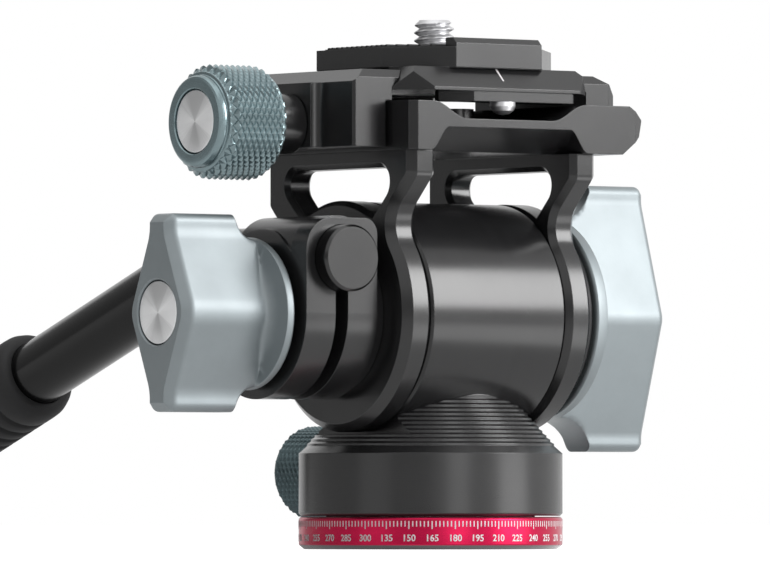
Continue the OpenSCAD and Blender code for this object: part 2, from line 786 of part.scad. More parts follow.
module hub_washer() {
    color([0.3, 0.3, 0.32]) on_tilt_axis()
        tube(hub_washer_r, left_stud_r + run, hub_out, hub_out - hub_washer_t);
}

module handle_rod() {
    color([0.04, 0.04, 0.045]) union() {
        translate([rod_x, 0, rod_z]) rotate([-90, 0, 0]) rotate_extrude() polygon([
            [0, -hub_r - rod_front], [rod_r - 0.4, -hub_r - rod_front], [rod_r, 0.4 - hub_r - rod_front],
            [rod_r, bend_y + 0.5], [0, bend_y + 0.5]]);
        translate([rod_x, bend_y, rod_z - bend_r]) rotate([90, 0, 90]) rotate([0, 0, 90 - bend_deg])
            rotate_extrude(angle = bend_deg) translate([bend_r, 0]) circle(r = rod_r + 0.02);
        on_slant() bar(rod_r, -0.5, slant_len);
    }
}

module handle_grip() {
    color([0.03, 0.03, 0.03]) on_slant() difference() {
        translate([0, 0, grip_from]) rotate_extrude() polygon([
            [0, 0], [grip_r - 1, 0], [grip_r, 1], [grip_r, grip_len], [0, grip_len]]);
        bar(rod_r, 0, slant_len + 1);
    }
}

module grip_cap() {
    color([0.05, 0.05, 0.055]) on_slant() translate([0, 0, slant_len]) rotate_extrude() polygon([
        [0, 0], [grip_r, 0], [grip_r, grip_cap_t - 1.4], [grip_r - 1.4, grip_cap_t], [0, grip_cap_t]]);
}

module handle_knob() {
    color([0.62, 0.66, 0.68]) on_tilt_axis() rotate([0, 180, 0]) difference() {
        translate([0, 0, -small_in])
            wing_knob(small_wing_half, small_wing_r, wing_tip, small_wing_len, small_collar_r,
                1.6, 5.3, 3.6, 2.4);
        bar(small_nut_r, -small_in - 1, small_nut_len - small_in);
        bar(disc_r, -small_end - disc_t, 1 - small_end);
    }
}

module handle_knob_nut() {
    color([0.6, 0.6, 0.62]) on_tilt_axis()
        tube(small_nut_r, left_stud_r + run, small_in, small_in - small_nut_len);
}

module handle_knob_disc() {
    color([0.7, 0.7, 0.7]) on_tilt_axis() bar(disc_r, small_end, small_end + disc_t);
}

// Plan of the boss on the moving jaw, with a hollow round on each side
module boss_plan() {
    difference() {
        translate([boss_end, -boss_half - boss_round]) square([boss_round + 1, 2 * (boss_half + boss_round)]);
        for (s = [-1, 1]) translate([boss_end, s * (boss_half + boss_round)]) circle(r = boss_round);
    }
}

module moving_jaw() {
    color([0.05, 0.05, 0.055]) difference() {
        union() {
            along_y(-move_y, move_y) polygon([
                [move_out, move_low], [move_out, jaw_top - move_bevel], [move_out + 2.7, jaw_top],
                [move_in + jaw_rise, jaw_top], [move_in, tail_edge], [move_in, clamp_top + 0.15],
                [move_face, clamp_top + 0.15], [move_face, move_low]]);
            translate([0, 0, move_low]) linear_extrude(boss_top - move_low) boss_plan();
        }
        for (s = [-1, 1]) {
            end_cut(s * move_y, s * 1.3);
            corner_cut(move_out, s * move_y, 0.4, s * 0.4);
            translate([0, s * pin_y, pin_z]) rotate([0, 90, 0]) bar(pin_r, move_out + 1, clamp_left + 1);
        }
        on_screw_axis() bar(screw_r + loose, boss_end - 1, clamp_left + 1);
    }
}

module jaw_pins() {
    color([0.6, 0.6, 0.62]) for (s = [-1, 1]) {
        translate([0, s * pin_y, pin_z]) rotate([0, 90, 0]) bar(pin_r, move_out + 1, pin_end);
    }
}

module clamp_knob() {
    color([0.3, 0.4, 0.43]) on_screw_axis() difference() {
        rotate_extrude() polygon([[0, knob_end], [clamp_knob_r - 2.1, knob_end],
            [clamp_knob_r, knob_end + 2.4], [clamp_knob_r, knob_in - 1],
            [clamp_knob_r - 1, knob_in], [0, knob_in]]);
        bar(screw_r, knob_end + knob_wall, 0);
        bar(disc_r, knob_end - 1, knob_end + disc_t);
    }
}

module clamp_collar() {
    color([0.05, 0.05, 0.055]) on_screw_axis() tube(clamp_collar_r, screw_r, knob_in, boss_end - jaw_gap);
}

module clamp_screw() {
    color([0.6, 0.6, 0.62]) on_screw_axis() bar(screw_r, knob_end + knob_wall, screw_end);
}

module clamp_knob_disc() {
    color([0.7, 0.7, 0.7]) on_screw_axis() bar(disc_r, knob_end, knob_end + disc_t);
}

// Side view of the plate's dovetail
module tail_profile() {
    polygon([[-tail_half, tail_low], [tail_half, tail_low], [tail_half, tail_edge],
        [tail_half - tail_rise, plate_mid], [tail_rise - tail_half, plate_mid], [-tail_half, tail_edge]]);
}

module qr_plate() {
    color([0.05, 0.05, 0.055]) translate([plate_x, 0, 0]) difference() {
        union() {
            translate([0, 0, plate_mid]) linear_extrude(top_z - plate_mid) cut_square(top_half, top_cut);
            intersection() {
                along_y(-tail_half, tail_half) tail_profile();
                along_x(-tail_half, tail_half) tail_profile();
                translate([0, 0, tail_low]) linear_extrude(plate_mid) cut_square(tail_half, tail_cut);
            }
            for (a = [0, 180]) rotate([0, 0, a]) translate([0, 0, rim_low]) linear_extrude(tail_low - rim_low)
                polygon([[rim_near, -rim_y], [rim_far - 1, -rim_y], [rim_far, 1 - rim_y],
                    [rim_far, rim_depth - rim_y], [rim_near - 4, rim_depth - rim_y],
                    [rim_near - 4, 4 - rim_y]]);
            along_x(-lip_half, lip_half) polygon([[-top_half, top_z - 1], [-top_half, lip_z - 0.9],
                [0.9 - top_half, lip_z], [lip_t - top_half, lip_z], [lip_t - top_half, top_z - 1]]);
        }
        bar(cam_r + 0.025, tail_low - 1, cam_tip);
        bar(head_r + 0.4, tail_low - 1, head_top + 0.1);
        for (s = [-1, 1]) translate([0, s * stop_y, 0]) bar(stop_shank_r, rim_low - 1, stop_top);
    }
}

module plate_pad() {
    color([0.03, 0.03, 0.03]) translate([plate_x, 0, top_z]) linear_extrude(pad_z - top_z) difference() {
        cut_square(top_half - 1.2, top_cut - 0.5);
        translate([-top_half, -2 * top_half]) square([2 * top_half, top_half + lip_t + 0.8]);
        circle(r = pad_hole_r);
    }
}

module stop_screws() {
    color([0.75, 0.75, 0.76]) for (s = [-1, 1]) translate([plate_x, s * stop_y, 0]) {
        bar(stop_shank_r, rim_low, stop_top);
        rotate_extrude() polygon([[0, rim_low - 2.1], [1, rim_low - 1.9], [1.7, rim_low - 1.4],
            [stop_r, rim_low - 0.7], [stop_r, rim_low], [0, rim_low]]);
    }
}

module camera_screw() {
    color([0.75, 0.75, 0.76]) translate([plate_x, 0, 0]) difference() {
        rotate_extrude() polygon([[0, head_low], [head_r, head_low], [head_r, head_top],
            [neck_cam_r, head_top], [neck_cam_r, thread_low], [cam_r, thread_low], [cam_r, cam_tip - 0.6],
            [cam_r - 0.6, cam_tip], [0, cam_tip]]);
        translate([-head_r - 1, -0.8, head_low - 1]) cube([2 * head_r + 2, 1.6, 2.2]);
    }
}

base_plate();
scale_ring();
thread_bush();
pan_washer();
pan_nut();
pan_housing();
pan_bush();
pan_seal();
drum();
drum_screws();
drum_caps();
tilt_bushes();
damper_seals();
friction_rings();
pan_knob();
pan_lock_screw();
pan_brake_shoe();
yoke();
tilt_shaft();
damper_rotor();
clamp_body();
clamp_bolts();
hub_rosette();
pressure_plate();
tilt_knob();
tilt_knob_nut();
tilt_knob_disc();
handle_hub();
hub_washer();
handle_rod();
handle_grip();
grip_cap();
handle_knob();
handle_knob_nut();
handle_knob_disc();
moving_jaw();
jaw_pins();
clamp_knob();
clamp_collar();
clamp_screw();
clamp_knob_disc();
qr_plate();
plate_pad();
stop_screws();
camera_screw();
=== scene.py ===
import json
import math

import bmesh
import bpy
from bpy.props import FloatProperty, FloatVectorProperty, IntProperty, PointerProperty
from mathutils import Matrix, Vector
from mathutils.bvhtree import BVHTree

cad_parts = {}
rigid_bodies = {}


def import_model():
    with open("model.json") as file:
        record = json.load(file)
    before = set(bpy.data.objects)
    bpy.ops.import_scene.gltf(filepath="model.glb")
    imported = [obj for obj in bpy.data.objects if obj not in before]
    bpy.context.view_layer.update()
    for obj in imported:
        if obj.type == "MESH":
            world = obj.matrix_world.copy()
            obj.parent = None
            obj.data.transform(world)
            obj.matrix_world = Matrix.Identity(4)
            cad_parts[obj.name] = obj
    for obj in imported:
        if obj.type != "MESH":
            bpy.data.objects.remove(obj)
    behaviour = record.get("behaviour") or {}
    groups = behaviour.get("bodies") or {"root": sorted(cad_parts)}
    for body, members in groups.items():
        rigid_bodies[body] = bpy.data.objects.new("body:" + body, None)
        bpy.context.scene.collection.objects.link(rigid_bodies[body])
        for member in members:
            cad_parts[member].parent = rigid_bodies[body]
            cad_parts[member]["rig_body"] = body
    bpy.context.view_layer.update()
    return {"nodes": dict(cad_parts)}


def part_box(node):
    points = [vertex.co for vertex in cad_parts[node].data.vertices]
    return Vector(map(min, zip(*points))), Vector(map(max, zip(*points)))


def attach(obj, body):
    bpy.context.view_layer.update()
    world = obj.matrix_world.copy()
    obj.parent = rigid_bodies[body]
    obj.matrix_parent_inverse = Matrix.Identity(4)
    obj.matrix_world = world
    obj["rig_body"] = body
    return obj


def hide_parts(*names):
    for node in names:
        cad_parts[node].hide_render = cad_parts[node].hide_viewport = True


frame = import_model()

bl_info = {
    "name": "Fluid video head",
    "version": (1, 0, 0),
    "blender": (4, 5, 0),
    "location": "View3D > Sidebar > Fluid head",
    "description": "Dresses the packed head: finishes, edges, knurls, pan scale, thread, grip and studio",
    "category": "Object",
}

MM = 0.001
TURN = 2 * math.pi
ORIGIN = (0.0, 0.0, 0.0)
TILT_AXIS = (0.0, 0.0, 37.0 * MM)
CLAMP_AXIS = (0.0, 0.0, 67.0 * MM)
ALONG_X, ALONG_Y, ALONG_Z = (1.0, 0.0, 0.0), (0.0, 1.0, 0.0), (0.0, 0.0, 1.0)
WHITE = (1.0, 1.0, 1.0, 1.0)


def length(name, description, default):
    return FloatProperty(name=name, description=description, default=default * MM, min=0.0, unit="LENGTH",
                         precision=5)


def count(name, description, default):
    return IntProperty(name=name, description=description, default=default, min=1)


def share(name, description, default):
    return FloatProperty(name=name, description=description, default=default, min=0.0, soft_max=1.0,
                         subtype="FACTOR")


def power(name, description, default):
    return FloatProperty(name=name, description=description, default=default, min=0.0, unit="POWER")


def angle(name, description, default):
    return FloatProperty(name=name, description=description, default=math.radians(default), subtype="ANGLE")


def tint(name, description, default):
    return FloatVectorProperty(name=name, description=description, default=default, size=3, min=0.0, max=1.0,
                               subtype="COLOR")


class HeadSizes(bpy.types.PropertyGroup):
    knob_round: length("Knob round", "Width of the rounds on the edges of the wing knobs", 0.5)
    ridge_round: length("Ridge round", "Radius of the round along the ridge of the tilt knob", 4.2)
    small_ridge_round: length("Small ridge round", "Radius of the round along the handle knob's ridge", 5.5)
    tip_round: length("Tip round", "Radius of the rounds at the tips of a wing knob", 1.4)
    tip_half: length("Tip half width", "Half the width of a wing's tip", 3.2)
    disc_seat: length("Disc seat", "Radius of the seat of a disc in a knob", 5.15)
    rim_round: length("Rim round", "Width of the rounds on turned rims", 0.14)
    ring_rise: length("Ring rise", "How far the scale ring's rim stands up under the housing", 0.15)
    arm_thick: length("Arm thickness", "Thickness of an arm of the yoke", 5.2)
    inner_bevel: length("Inner bevel", "Bevel of an arm's rim towards the drum", 0.95)
    outer_bevel: length("Outer bevel", "Bevel of an arm's rim on the outside", 1.3)
    front_foot: length("Front foot", "Height over the tilt axis where a front leg starts to slope", 21.6)
    rear_foot: length("Rear foot", "Height over the tilt axis where a rear leg starts to slope", 17.1)
    rear_reach: length("Rear reach", "Reach of the rear legs behind the tilt axis", 18.9)
    foot_round: length("Foot round", "Radius of the round where a leg starts to slope", 2.0)
    leg_hollow: length("Leg hollow", "Radius of the hollow between a leg and the arm's round end", 5.0)
    window_bevel: length("Window bevel", "Bevel round a window of the yoke", 0.8)
    window_rail: length("Window rail", "Height of the rail over a window", 2.6)
    window_half: length("Window half width", "Half the width of a window under its rail", 13.2)
    window_turn: length("Window turn", "Height over the tilt axis where a window's side turns in", 19.8)
    window_foot: length("Window foot", "Radius of a window's foot round the tilt axis", 18.1)
    window_bend: length("Window bend", "Radius of the round where a window's side turns in", 2.6)
    window_corner: length("Window corner", "Radius of a window's upper corners", 2.2)
    strap_half: length("Strap half width", "Half the width of the strap that joins the arms", 15.5)
    strap_reach: length("Strap reach", "Reach of the strap to the front and to the back", 14.0)
    tick_width: length("Tick width", "Width of a mark on the pan scale", 0.2)
    tick_top: length("Tick top", "Height of the upper end of the marks", 4.5)
    tick_low: length("Tick foot", "Height of the lower end of a short mark", 3.6)
    long_low: length("Long tick foot", "Height of the lower end of a long mark", 3.22)
    figure_low: length("Figure foot", "Height of the foot of the figures", 1.33)
    figure_size: length("Figure size", "Type size of the figures", 1.46)
    figure_bold: length("Figure boldness", "How much the figures' strokes are widened", 0.035)
    figure_width: share("Figure width", "Width of the figures as a share of their own", 0.98)
    mark_proud: length("Mark height", "How far the printed marks stand off the ring", 0.025)
    mark_depth: length("Mark depth", "Thickness of a printed mark", 0.05)
    knurl_depth: length("Knurl depth", "Depth of the cuts between the diamonds", 0.45)
    knurl_pitch: length("Knurl pitch", "Length of one diamond along the knob", 1.08)
    clamp_diamonds: count("Clamp knob diamonds", "Diamonds round the clamp knob", 28)
    pan_diamonds: count("Pan knob diamonds", "Diamonds round the pan knob", 24)
    thread_crest: length("Thread radius", "Radius over the crests of the camera thread", 3.175)
    thread_pitch: length("Thread pitch", "Pitch of the quarter inch camera thread", 1.27)
    thread_depth: length("Thread depth", "Depth of the camera thread", 0.74)
    rib_pitch: length("Pad rib pitch", "Distance between the ribs of the plate pad", 1.3)
    pad_corner: length("Pad corner", "Length that is cut off the pad's corners", 8.0)
    pad_hole: length("Pad hole", "Radius of the hole in the ribs round the camera screw", 5.5)
    grip_bore: length("Grip bore", "Radius of the bore of the grip", 5.3)
    grip_groove: length("Grip groove", "Depth of the grooves round the grip", 0.55)
    grip_pitch: length("Grip pitch", "Distance between the grooves round the grip", 3.2)
    grip_lead: length("Grip lead", "Distance from the grip's front end to the first groove", 5.5)
    grip_tail: length("Grip tail", "Plain length at the grip's back end", 5.0)
    grip_fall: angle("Grip fall", "Slope of the grip down to the back", 20.0)
    disc_sink: length("Disc sink", "How far a knob disc lies below its rim", 0.22)
    line_width: length("Index line width", "Width of the index line on the plate", 0.34)
    line_foot: length("Index line foot", "Height of the lower end of the index line", 73.9)
    line_top: length("Index line top", "Height of the upper end of the index line", 75.86)
    line_depth: length("Index line depth", "Thickness of the index line", 0.06)
    line_proud: length("Index line height", "How far the index line stands off the plate", 0.02)


class HeadColours(bpy.types.PropertyGroup):
    black: tint("Black anodised", "Satin black of the machined parts", (0.014, 0.014, 0.0146))
    worn: tint("Worn edge", "Bare metal that shows along worn black edges", (0.30, 0.30, 0.31))
    crimson: tint("Crimson", "Anodised scale ring", (0.52, 0.003, 0.055))
    # The ring edge colour is a dark grey band painted along the lower edge of the scale ring.
    ring_edge: tint("Ring edge", "Dark grey band along the lower edge of the scale ring", (0.16, 0.15, 0.155))
    blue_grey: tint("Blue grey", "Wing knobs", (0.240, 0.270, 0.282))
    teal: tint("Teal grey", "Clamp knob", (0.225, 0.295, 0.312))
    dark_teal: tint("Dark teal", "Pan knob", (0.10, 0.14, 0.15))
    steel: tint("Steel", "Screws, nuts and shafts", (0.86, 0.86, 0.87))
    silver: tint("Bright aluminium", "Knob discs and rotor", (0.80, 0.805, 0.81))
    bronze: tint("Bronze", "Bushes, washer and brake shoe", (0.55, 0.38, 0.17))
    rubber: tint("Rubber", "Grip, pad and seals", (0.018, 0.018, 0.019))
    plastic: tint("Plastic", "Grip cap and friction rings", (0.022, 0.022, 0.024))
    white: tint("White print", "Scale marks and index line", (0.86, 0.83, 0.84))


class HeadStudio(bpy.types.PropertyGroup):
    fill: share("Fill", "Level of the even light from all round", 0.22)
    key: power("Key", "Power of the large softbox at the front right", 33.0)
    front: power("Front", "Power of the strip light in front", 1.05)
    bounce: power("Bounce", "Power of the low light that lifts the undersides", 0.035)
    top: power("Top", "Power of the softbox overhead", 1.6)
    floor: tint("Floor", "Pale floor", (0.80, 0.80, 0.80))
    floor_seen: share("Floor glow", "How much brighter the camera sees the floor", 0.86)
    floor_mirrored: share("Floor in reflections", "How much brighter reflections see the floor", 0.36)
    left_card: share("Left card", "Level of the grey card behind the handle knob", 0.36)
    front_card: share("Front card", "Level of the grey card in front", 0.35)
    azimuth: angle("View azimuth", "Camera's turn round the part", -37.0)
    elevation: angle("View elevation", "Camera's rise over the part", -1.3)
    distance: FloatProperty(name="View distance", description="Camera's distance from its aim", default=1.592,
                            unit="LENGTH")
    aim: FloatVectorProperty(name="Aim", description="Point the camera looks at",
                             default=(-0.0058, 0.00435, 0.0414), size=3, subtype="TRANSLATION", unit="LENGTH")
    focal: FloatProperty(name="Lens", description="Focal length in millimetres on a 36 mm sensor",
                         default=467.53, min=1.0)


def sizes():
    return bpy.context.scene.head_sizes


def put(tree, kind, inputs=(), **settings):
    """A new shader node with its settings; each input is a socket to link or a value to set."""
    node = tree.nodes.new("ShaderNode" + kind)
    for key, value in settings.items():
        setattr(node, key, value)
    for key, value in dict(inputs).items():
        if isinstance(value, bpy.types.NodeSocket):
            tree.links.new(value, node.inputs[key])
        else:
            node.inputs[key].default_value = value
    return node


def maths(tree, operation, first, second=0.0):
    return put(tree, "Math", {0: first, 1: second}, operation=operation).outputs[0]


def vectors(tree, operation, first, second=ORIGIN):
    return put(tree, "VectorMath", {0: first, 1: second}, operation=operation).outputs


def spread(tree, value, start, end, low, high):
    """A value carried from one range over to another, and held at its ends."""
    return put(tree, "MapRange", {"Value": value, "From Min": start, "From Max": end, "To Min": low,
                                  "To Max": high}, clamp=True).outputs[0]


def noise(tree, place, scale, detail, rough=0.5):
    return put(tree, "TexNoise", {"Vector": place, "Scale": scale, "Detail": detail,
                                  "Roughness": rough}).outputs[0]


def line_noise(tree, way, scale, detail, rough=0.5):
    return put(tree, "TexNoise", {"W": way, "Scale": scale, "Detail": detail, "Roughness": rough},
               noise_dimensions="1D").outputs[0]


def new_group(name, inputs, outputs):
    """An empty node group: a tuple gives a vector input, a number a plain one."""
    tree = bpy.data.node_groups.new(name, "ShaderNodeTree")
    for label, value in inputs.items():
        kind = "Vector" if isinstance(value, tuple) else "Float"
        socket = tree.interface.new_socket(label, in_out="INPUT", socket_type="NodeSocket" + kind)
        socket.default_value = value
    for label in outputs:
        kind = "Vector" if label == "Normal" else "Float"
        tree.interface.new_socket(label, in_out="OUTPUT", socket_type="NodeSocket" + kind)
    return tree, tree.nodes.new("NodeGroupInput").outputs, tree.nodes.new("NodeGroupOutput").inputs


def use_group(tree, name, inputs):
    return put(tree, "Group", inputs, node_tree=bpy.data.node_groups[name]).outputs


def grain_group():
    """Fine even pits of a bead blasted surface."""
    tree, given, out = new_group("Blasted grain", {"Place": ORIGIN, "Fineness": 6000.0}, ["Height", "Tone"])
    beads = put(tree, "TexVoronoi", {"Vector": given["Place"], "Scale": given["Fineness"]},
                feature="SMOOTH_F1")
    haze = noise(tree, given["Place"], given["Fineness"], 3.0)
    tree.links.new(maths(tree, "ADD", beads.outputs["Distance"], haze), out["Height"])
    drift = maths(tree, "DIVIDE", given["Fineness"], 40.0)
    tree.links.new(noise(tree, given["Place"], drift, 4.0, 0.65), out["Tone"])


def handling_group():
    """Soft patches where hands have polished or dulled the finish."""
    tree, given, out = new_group("Handling marks", {"Place": ORIGIN, "Size": 70.0, "Low": 0.3, "High": 0.4},
                                 ["Roughness"])
    patch = noise(tree, given["Place"], given["Size"], 2.0)
    tree.links.new(spread(tree, patch, 0.25, 0.75, given["Low"], given["High"]), out["Roughness"])


def lathe_group():
    """Fine rings left by a turning tool round an axis."""
    tree, given, out = new_group("Lathe rings", {"Place": ORIGIN, "Centre": ORIGIN, "Axis": ALONG_Z,
                                                 "Rings": 5000.0}, ["Height", "Tone"])
    arm = vectors(tree, "SUBTRACT", given["Place"], given["Centre"])[0]
    along = vectors(tree, "DOT_PRODUCT", arm, given["Axis"])["Value"]
    shaft = put(tree, "VectorMath", {0: given["Axis"], "Scale": along}, operation="SCALE").outputs[0]
    radius = vectors(tree, "LENGTH", vectors(tree, "SUBTRACT", arm, shaft)[0])["Value"]
    way = maths(tree, "MULTIPLY", maths(tree, "ADD", along, radius), given["Rings"])
    tree.links.new(line_noise(tree, way, 1.0, 4.0, 0.7), out["Height"])
    tree.links.new(line_noise(tree, maths(tree, "MULTIPLY", way, 0.13), 1.0, 2.0), out["Tone"])


def painted_highlight_fan_group():
    """Painted highlight: bright and dark sectors with fine spokes, put into the colour of a disc that faces
    along X in place of the fan of reflections a spun disc shows.
    """
    tree, given, out = new_group("Painted highlight fan", {"Place": ORIGIN, "Centre": ORIGIN, "Spokes": 26.0}, ["Fan"])
    arm = vectors(tree, "SUBTRACT", given["Place"], given["Centre"])[0]
    parts = put(tree, "SeparateXYZ", {0: arm}).outputs
    turn = maths(tree, "ARCTAN2", parts["Z"], parts["Y"])
    highlight_sector = maths(tree, "COSINE", maths(tree, "MULTIPLY", turn, 2.0))
    spokes = line_noise(tree, turn, given["Spokes"], 5.0, 0.75)
    broad = line_noise(tree, turn, 1.7, 1.0)
    fine = maths(tree, "ADD", maths(tree, "MULTIPLY", spokes, 0.55), maths(tree, "MULTIPLY", broad, 0.45))
    tree.links.new(maths(tree, "ADD", maths(tree, "MULTIPLY", highlight_sector, 0.26), fine), out["Fan"])


def edge_group():
    """Rounded edge normals, and a mask of the worn line along each edge."""
    tree, given, out = new_group("Worn edges", {"Place": ORIGIN, "Round": 0.00018, "Chips": 900.0},
                                 ["Mask", "Normal"])
    soft = put(tree, "Bevel", {"Radius": given["Round"]}, samples=4).outputs[0]
    flat = put(tree, "NewGeometry").outputs["Normal"]
    edge = spread(tree, vectors(tree, "DOT_PRODUCT", soft, flat)["Value"], 0.995, 0.86, 0.0, 1.0)
    chips = spread(tree, noise(tree, given["Place"], given["Chips"], 3.0), 0.45, 0.7, 0.25, 1.0)
    tree.links.new(maths(tree, "MULTIPLY", edge, chips), out["Mask"])
    tree.links.new(soft, out["Normal"])


def mix_paint(tree, mask, paint, other):
    return put(tree, "Mix", {0: mask, 6: paint, 7: (*other, 1.0)}, data_type="RGBA").outputs[2]


def mask_along(tree, axis, start, end, low, high):
    """A value that changes along one axis of the part."""
    spot = put(tree, "SeparateXYZ", {0: put(tree, "TexCoord").outputs["Object"]})
    return spread(tree, spot.outputs[axis], start, end, low, high)


def finish(name, colour, rough, fineness=6000.0, pits=0.012, drift=0.12, wear=0.0, worn=None, turned=None,
           rings=5000.0, ring_depth=0.0, crisp=False, fan=None, **shader):
    """One material: colour drifting a little, handled roughness, grain and turning marks, worn edges, and on
    a disc a painted fan of highlight in its colour.
    """
    material = bpy.data.materials.new(name)
    material.use_nodes = True
    tree = material.node_tree
    body = tree.nodes["Principled BSDF"]
    for socket, value in shader.items():
        body.inputs[socket.replace("_", " ").title().replace("Ior", "IOR")].default_value = value
    place = put(tree, "TexCoord").outputs["Object"]
    grain = use_group(tree, "Blasted grain", {"Place": place, "Fineness": fineness})
    edges = use_group(tree, "Worn edges", {"Place": place})
    tone = grain["Tone"]
    height = maths(tree, "MULTIPLY", grain["Height"], pits)
    if turned:
        marks = use_group(tree, "Lathe rings", {"Place": place, "Centre": turned[0], "Axis": turned[1],
                                                "Rings": rings})
        height = maths(tree, "ADD", height, maths(tree, "MULTIPLY", marks["Height"], ring_depth))
        tone = maths(tree, "MULTIPLY", maths(tree, "ADD", tone, marks["Tone"]), 0.5)
    if fan:
        # A painted highlight fan takes the place of the grain's tone: bright and dark sectors painted into
        # the colour.
        tone = use_group(tree, "Painted highlight fan", {"Place": place, "Centre": fan})["Fan"]
        spin = put(tree, "Tangent", direction_type="RADIAL", axis="X")
        tree.links.new(spin.outputs[0], body.inputs["Tangent"])
    shade = put(tree, "ValToRGB", {"Fac": tone})
    for stop, spot, sign in zip(shade.color_ramp.elements, (0.3, 0.7), (-1, 1)):
        stop.position = spot
        stop.color = [min(1.0, c * (1 + sign * drift)) for c in colour] + [1.0]
    paint = shade.outputs[0]
    if wear:
        paint = mix_paint(tree, maths(tree, "MULTIPLY", edges["Mask"], wear), paint, worn)
    tree.links.new(paint, body.inputs["Base Color"])
    hand = use_group(tree, "Handling marks", {"Place": place, "Low": rough[0], "High": rough[1]})
    tree.links.new(hand["Roughness"], body.inputs["Roughness"])
    bump = put(tree, "Bump", {"Height": height, "Strength": 0.6, "Distance": 0.02 * MM})
    if not crisp:
        tree.links.new(edges["Normal"], bump.inputs["Normal"])
    tree.links.new(bump.outputs[0], body.inputs["Normal"])


BLACK_NODES = ("yoke", "clamp_body", "moving_jaw", "qr_plate", "handle_hub", "clamp_collar", "base_plate",
               "hub_rosette", "hub_washer", "pressure_plate", "clamp_bolts", "jaw_pins")
FINISH_OF = {
    "drum": "black drum", "drum_caps": "black drum", "pan_housing": "black housing",
    "handle_rod": "black rod", "scale_ring": "crimson ring", "tilt_knob": "blue grey knob",
    "handle_knob": "blue grey knob", "clamp_knob": "teal knob", "pan_knob": "dark teal knob",
    "grip_cap": "moulded plastic", "friction_rings": "moulded plastic", "handle_grip": "rubber",
    "plate_pad": "rubber", "pan_seal": "rubber", "damper_seals": "rubber", "pan_bush": "bronze",
    "tilt_bushes": "bronze", "pan_washer": "bronze", "pan_brake_shoe": "bronze",
    "damper_rotor": "brushed disc", "clamp_knob_disc": "clamp disc", "tilt_knob_disc": "brushed disc",
    "handle_knob_disc": "brushed disc"}
# Heights over which the lower edge of the scale ring is painted dark grey instead of crimson.
LOW_BAND_FROM, LOW_BAND_TO = 0.6 * MM, 0.72 * MM
STUB_FROM, STUB_TO, STUB_GLOSS = 0.3 * MM, 0.8 * MM, 0.8


def finish_of(node):
    return FINISH_OF.get(node, "black anodised" if node in BLACK_NODES else "steel")


def coat(piece, material):
    piece.data.materials.clear()
    piece.data.materials.append(bpy.data.materials[material])


class HEAD_OT_finishes(bpy.types.Operator):
    """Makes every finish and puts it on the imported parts"""
    bl_idname = "head.finishes"
    bl_label = "Finishes"

    def execute(self, context):
        hue = context.scene.head_colours
        for build in (grain_group, handling_group, lathe_group, painted_highlight_fan_group, edge_group):
            build()
        black = dict(wear=0.14, worn=hue.worn, drift=0.15)
        finish("black anodised", hue.black, (0.21, 0.27), specular_ior_level=0.6, **black)
        finish("black drum", hue.black, (0.20, 0.25), turned=(TILT_AXIS, ALONG_X), ring_depth=0.25,
               specular_ior_level=0.52, **black)
        finish("black housing", hue.black, (0.22, 0.28), turned=(ORIGIN, ALONG_Z), ring_depth=0.3,
               specular_ior_level=0.6, **black)
        finish("black rod", [c * 0.25 for c in hue.black], (0.16, 0.22), drift=0.15, specular_ior_level=0.28,
               coat_roughness=0.24)
        finish("crimson ring", hue.crimson, (0.24, 0.31), turned=(ORIGIN, ALONG_Z), ring_depth=0.3,
               drift=0.08, metallic=0.8, coat_weight=0.06, coat_roughness=0.15, sheen_weight=0.8,
               sheen_roughness=0.25)
        finish("blue grey knob", hue.blue_grey, (0.54, 0.62), pits=0.05, drift=0.04, metallic=1.0,
               coat_weight=0.5, coat_roughness=0.35)
        finish("teal knob", hue.teal, (0.20, 0.28), drift=0.10, metallic=0.85, crisp=True)
        finish("dark teal knob", hue.dark_teal, (0.28, 0.36), drift=0.12, metallic=0.85, crisp=True)
        finish("steel", hue.steel, (0.22, 0.32), drift=0.08, metallic=1.0, fineness=9000.0)
        # Besides their real brushing, the discs carry a painted fan of highlight in their colour.
        for name, centre in (("brushed disc", TILT_AXIS), ("clamp disc", CLAMP_AXIS)):
            finish(name, hue.silver, (0.30, 0.40), turned=(centre, ALONG_X), rings=12000.0, ring_depth=0.25,
                   fan=centre, drift=0.22, metallic=1.0, pits=0.0, anisotropic=0.7)
        finish("bronze", hue.bronze, (0.32, 0.48), metallic=1.0)
        finish("rubber", hue.rubber, (0.66, 0.82), pits=0.5, fineness=3000.0, drift=0.2)
        finish("moulded plastic", hue.plastic, (0.42, 0.55), pits=0.35, fineness=3500.0, drift=0.15)
        finish("white print", hue.white, (0.45, 0.6), pits=0.2, drift=0.04)
        self.paint_dark_low_band(hue.ring_edge)
        self.glossy_stub()
        for name, node in frame["nodes"].items():
            coat(node, finish_of(name))
        return {"FINISHED"}

    def paint_dark_low_band(self, colour):
        """Paints a dark grey band along the lower edge of the scale ring in place of its crimson."""
        tree = bpy.data.materials["crimson ring"].node_tree
        base = tree.nodes["Principled BSDF"].inputs["Base Color"]
        low_band = mask_along(tree, "Z", LOW_BAND_FROM, LOW_BAND_TO, 1.0, 0.0)
        tree.links.new(mix_paint(tree, low_band, base.links[0].from_socket, colour), base)

    def glossy_stub(self):
        """Gives the front end of the handle rod a clear coat."""
        tree = bpy.data.materials["black rod"].node_tree
        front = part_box("handle_rod")[0].y
        gloss = mask_along(tree, "Y", front + STUB_FROM, front + STUB_TO, STUB_GLOSS, 0.0)
        tree.links.new(gloss, tree.nodes["Principled BSDF"].inputs["Coat Weight"])


def body_of(node):
    return frame["nodes"][node]["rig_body"]


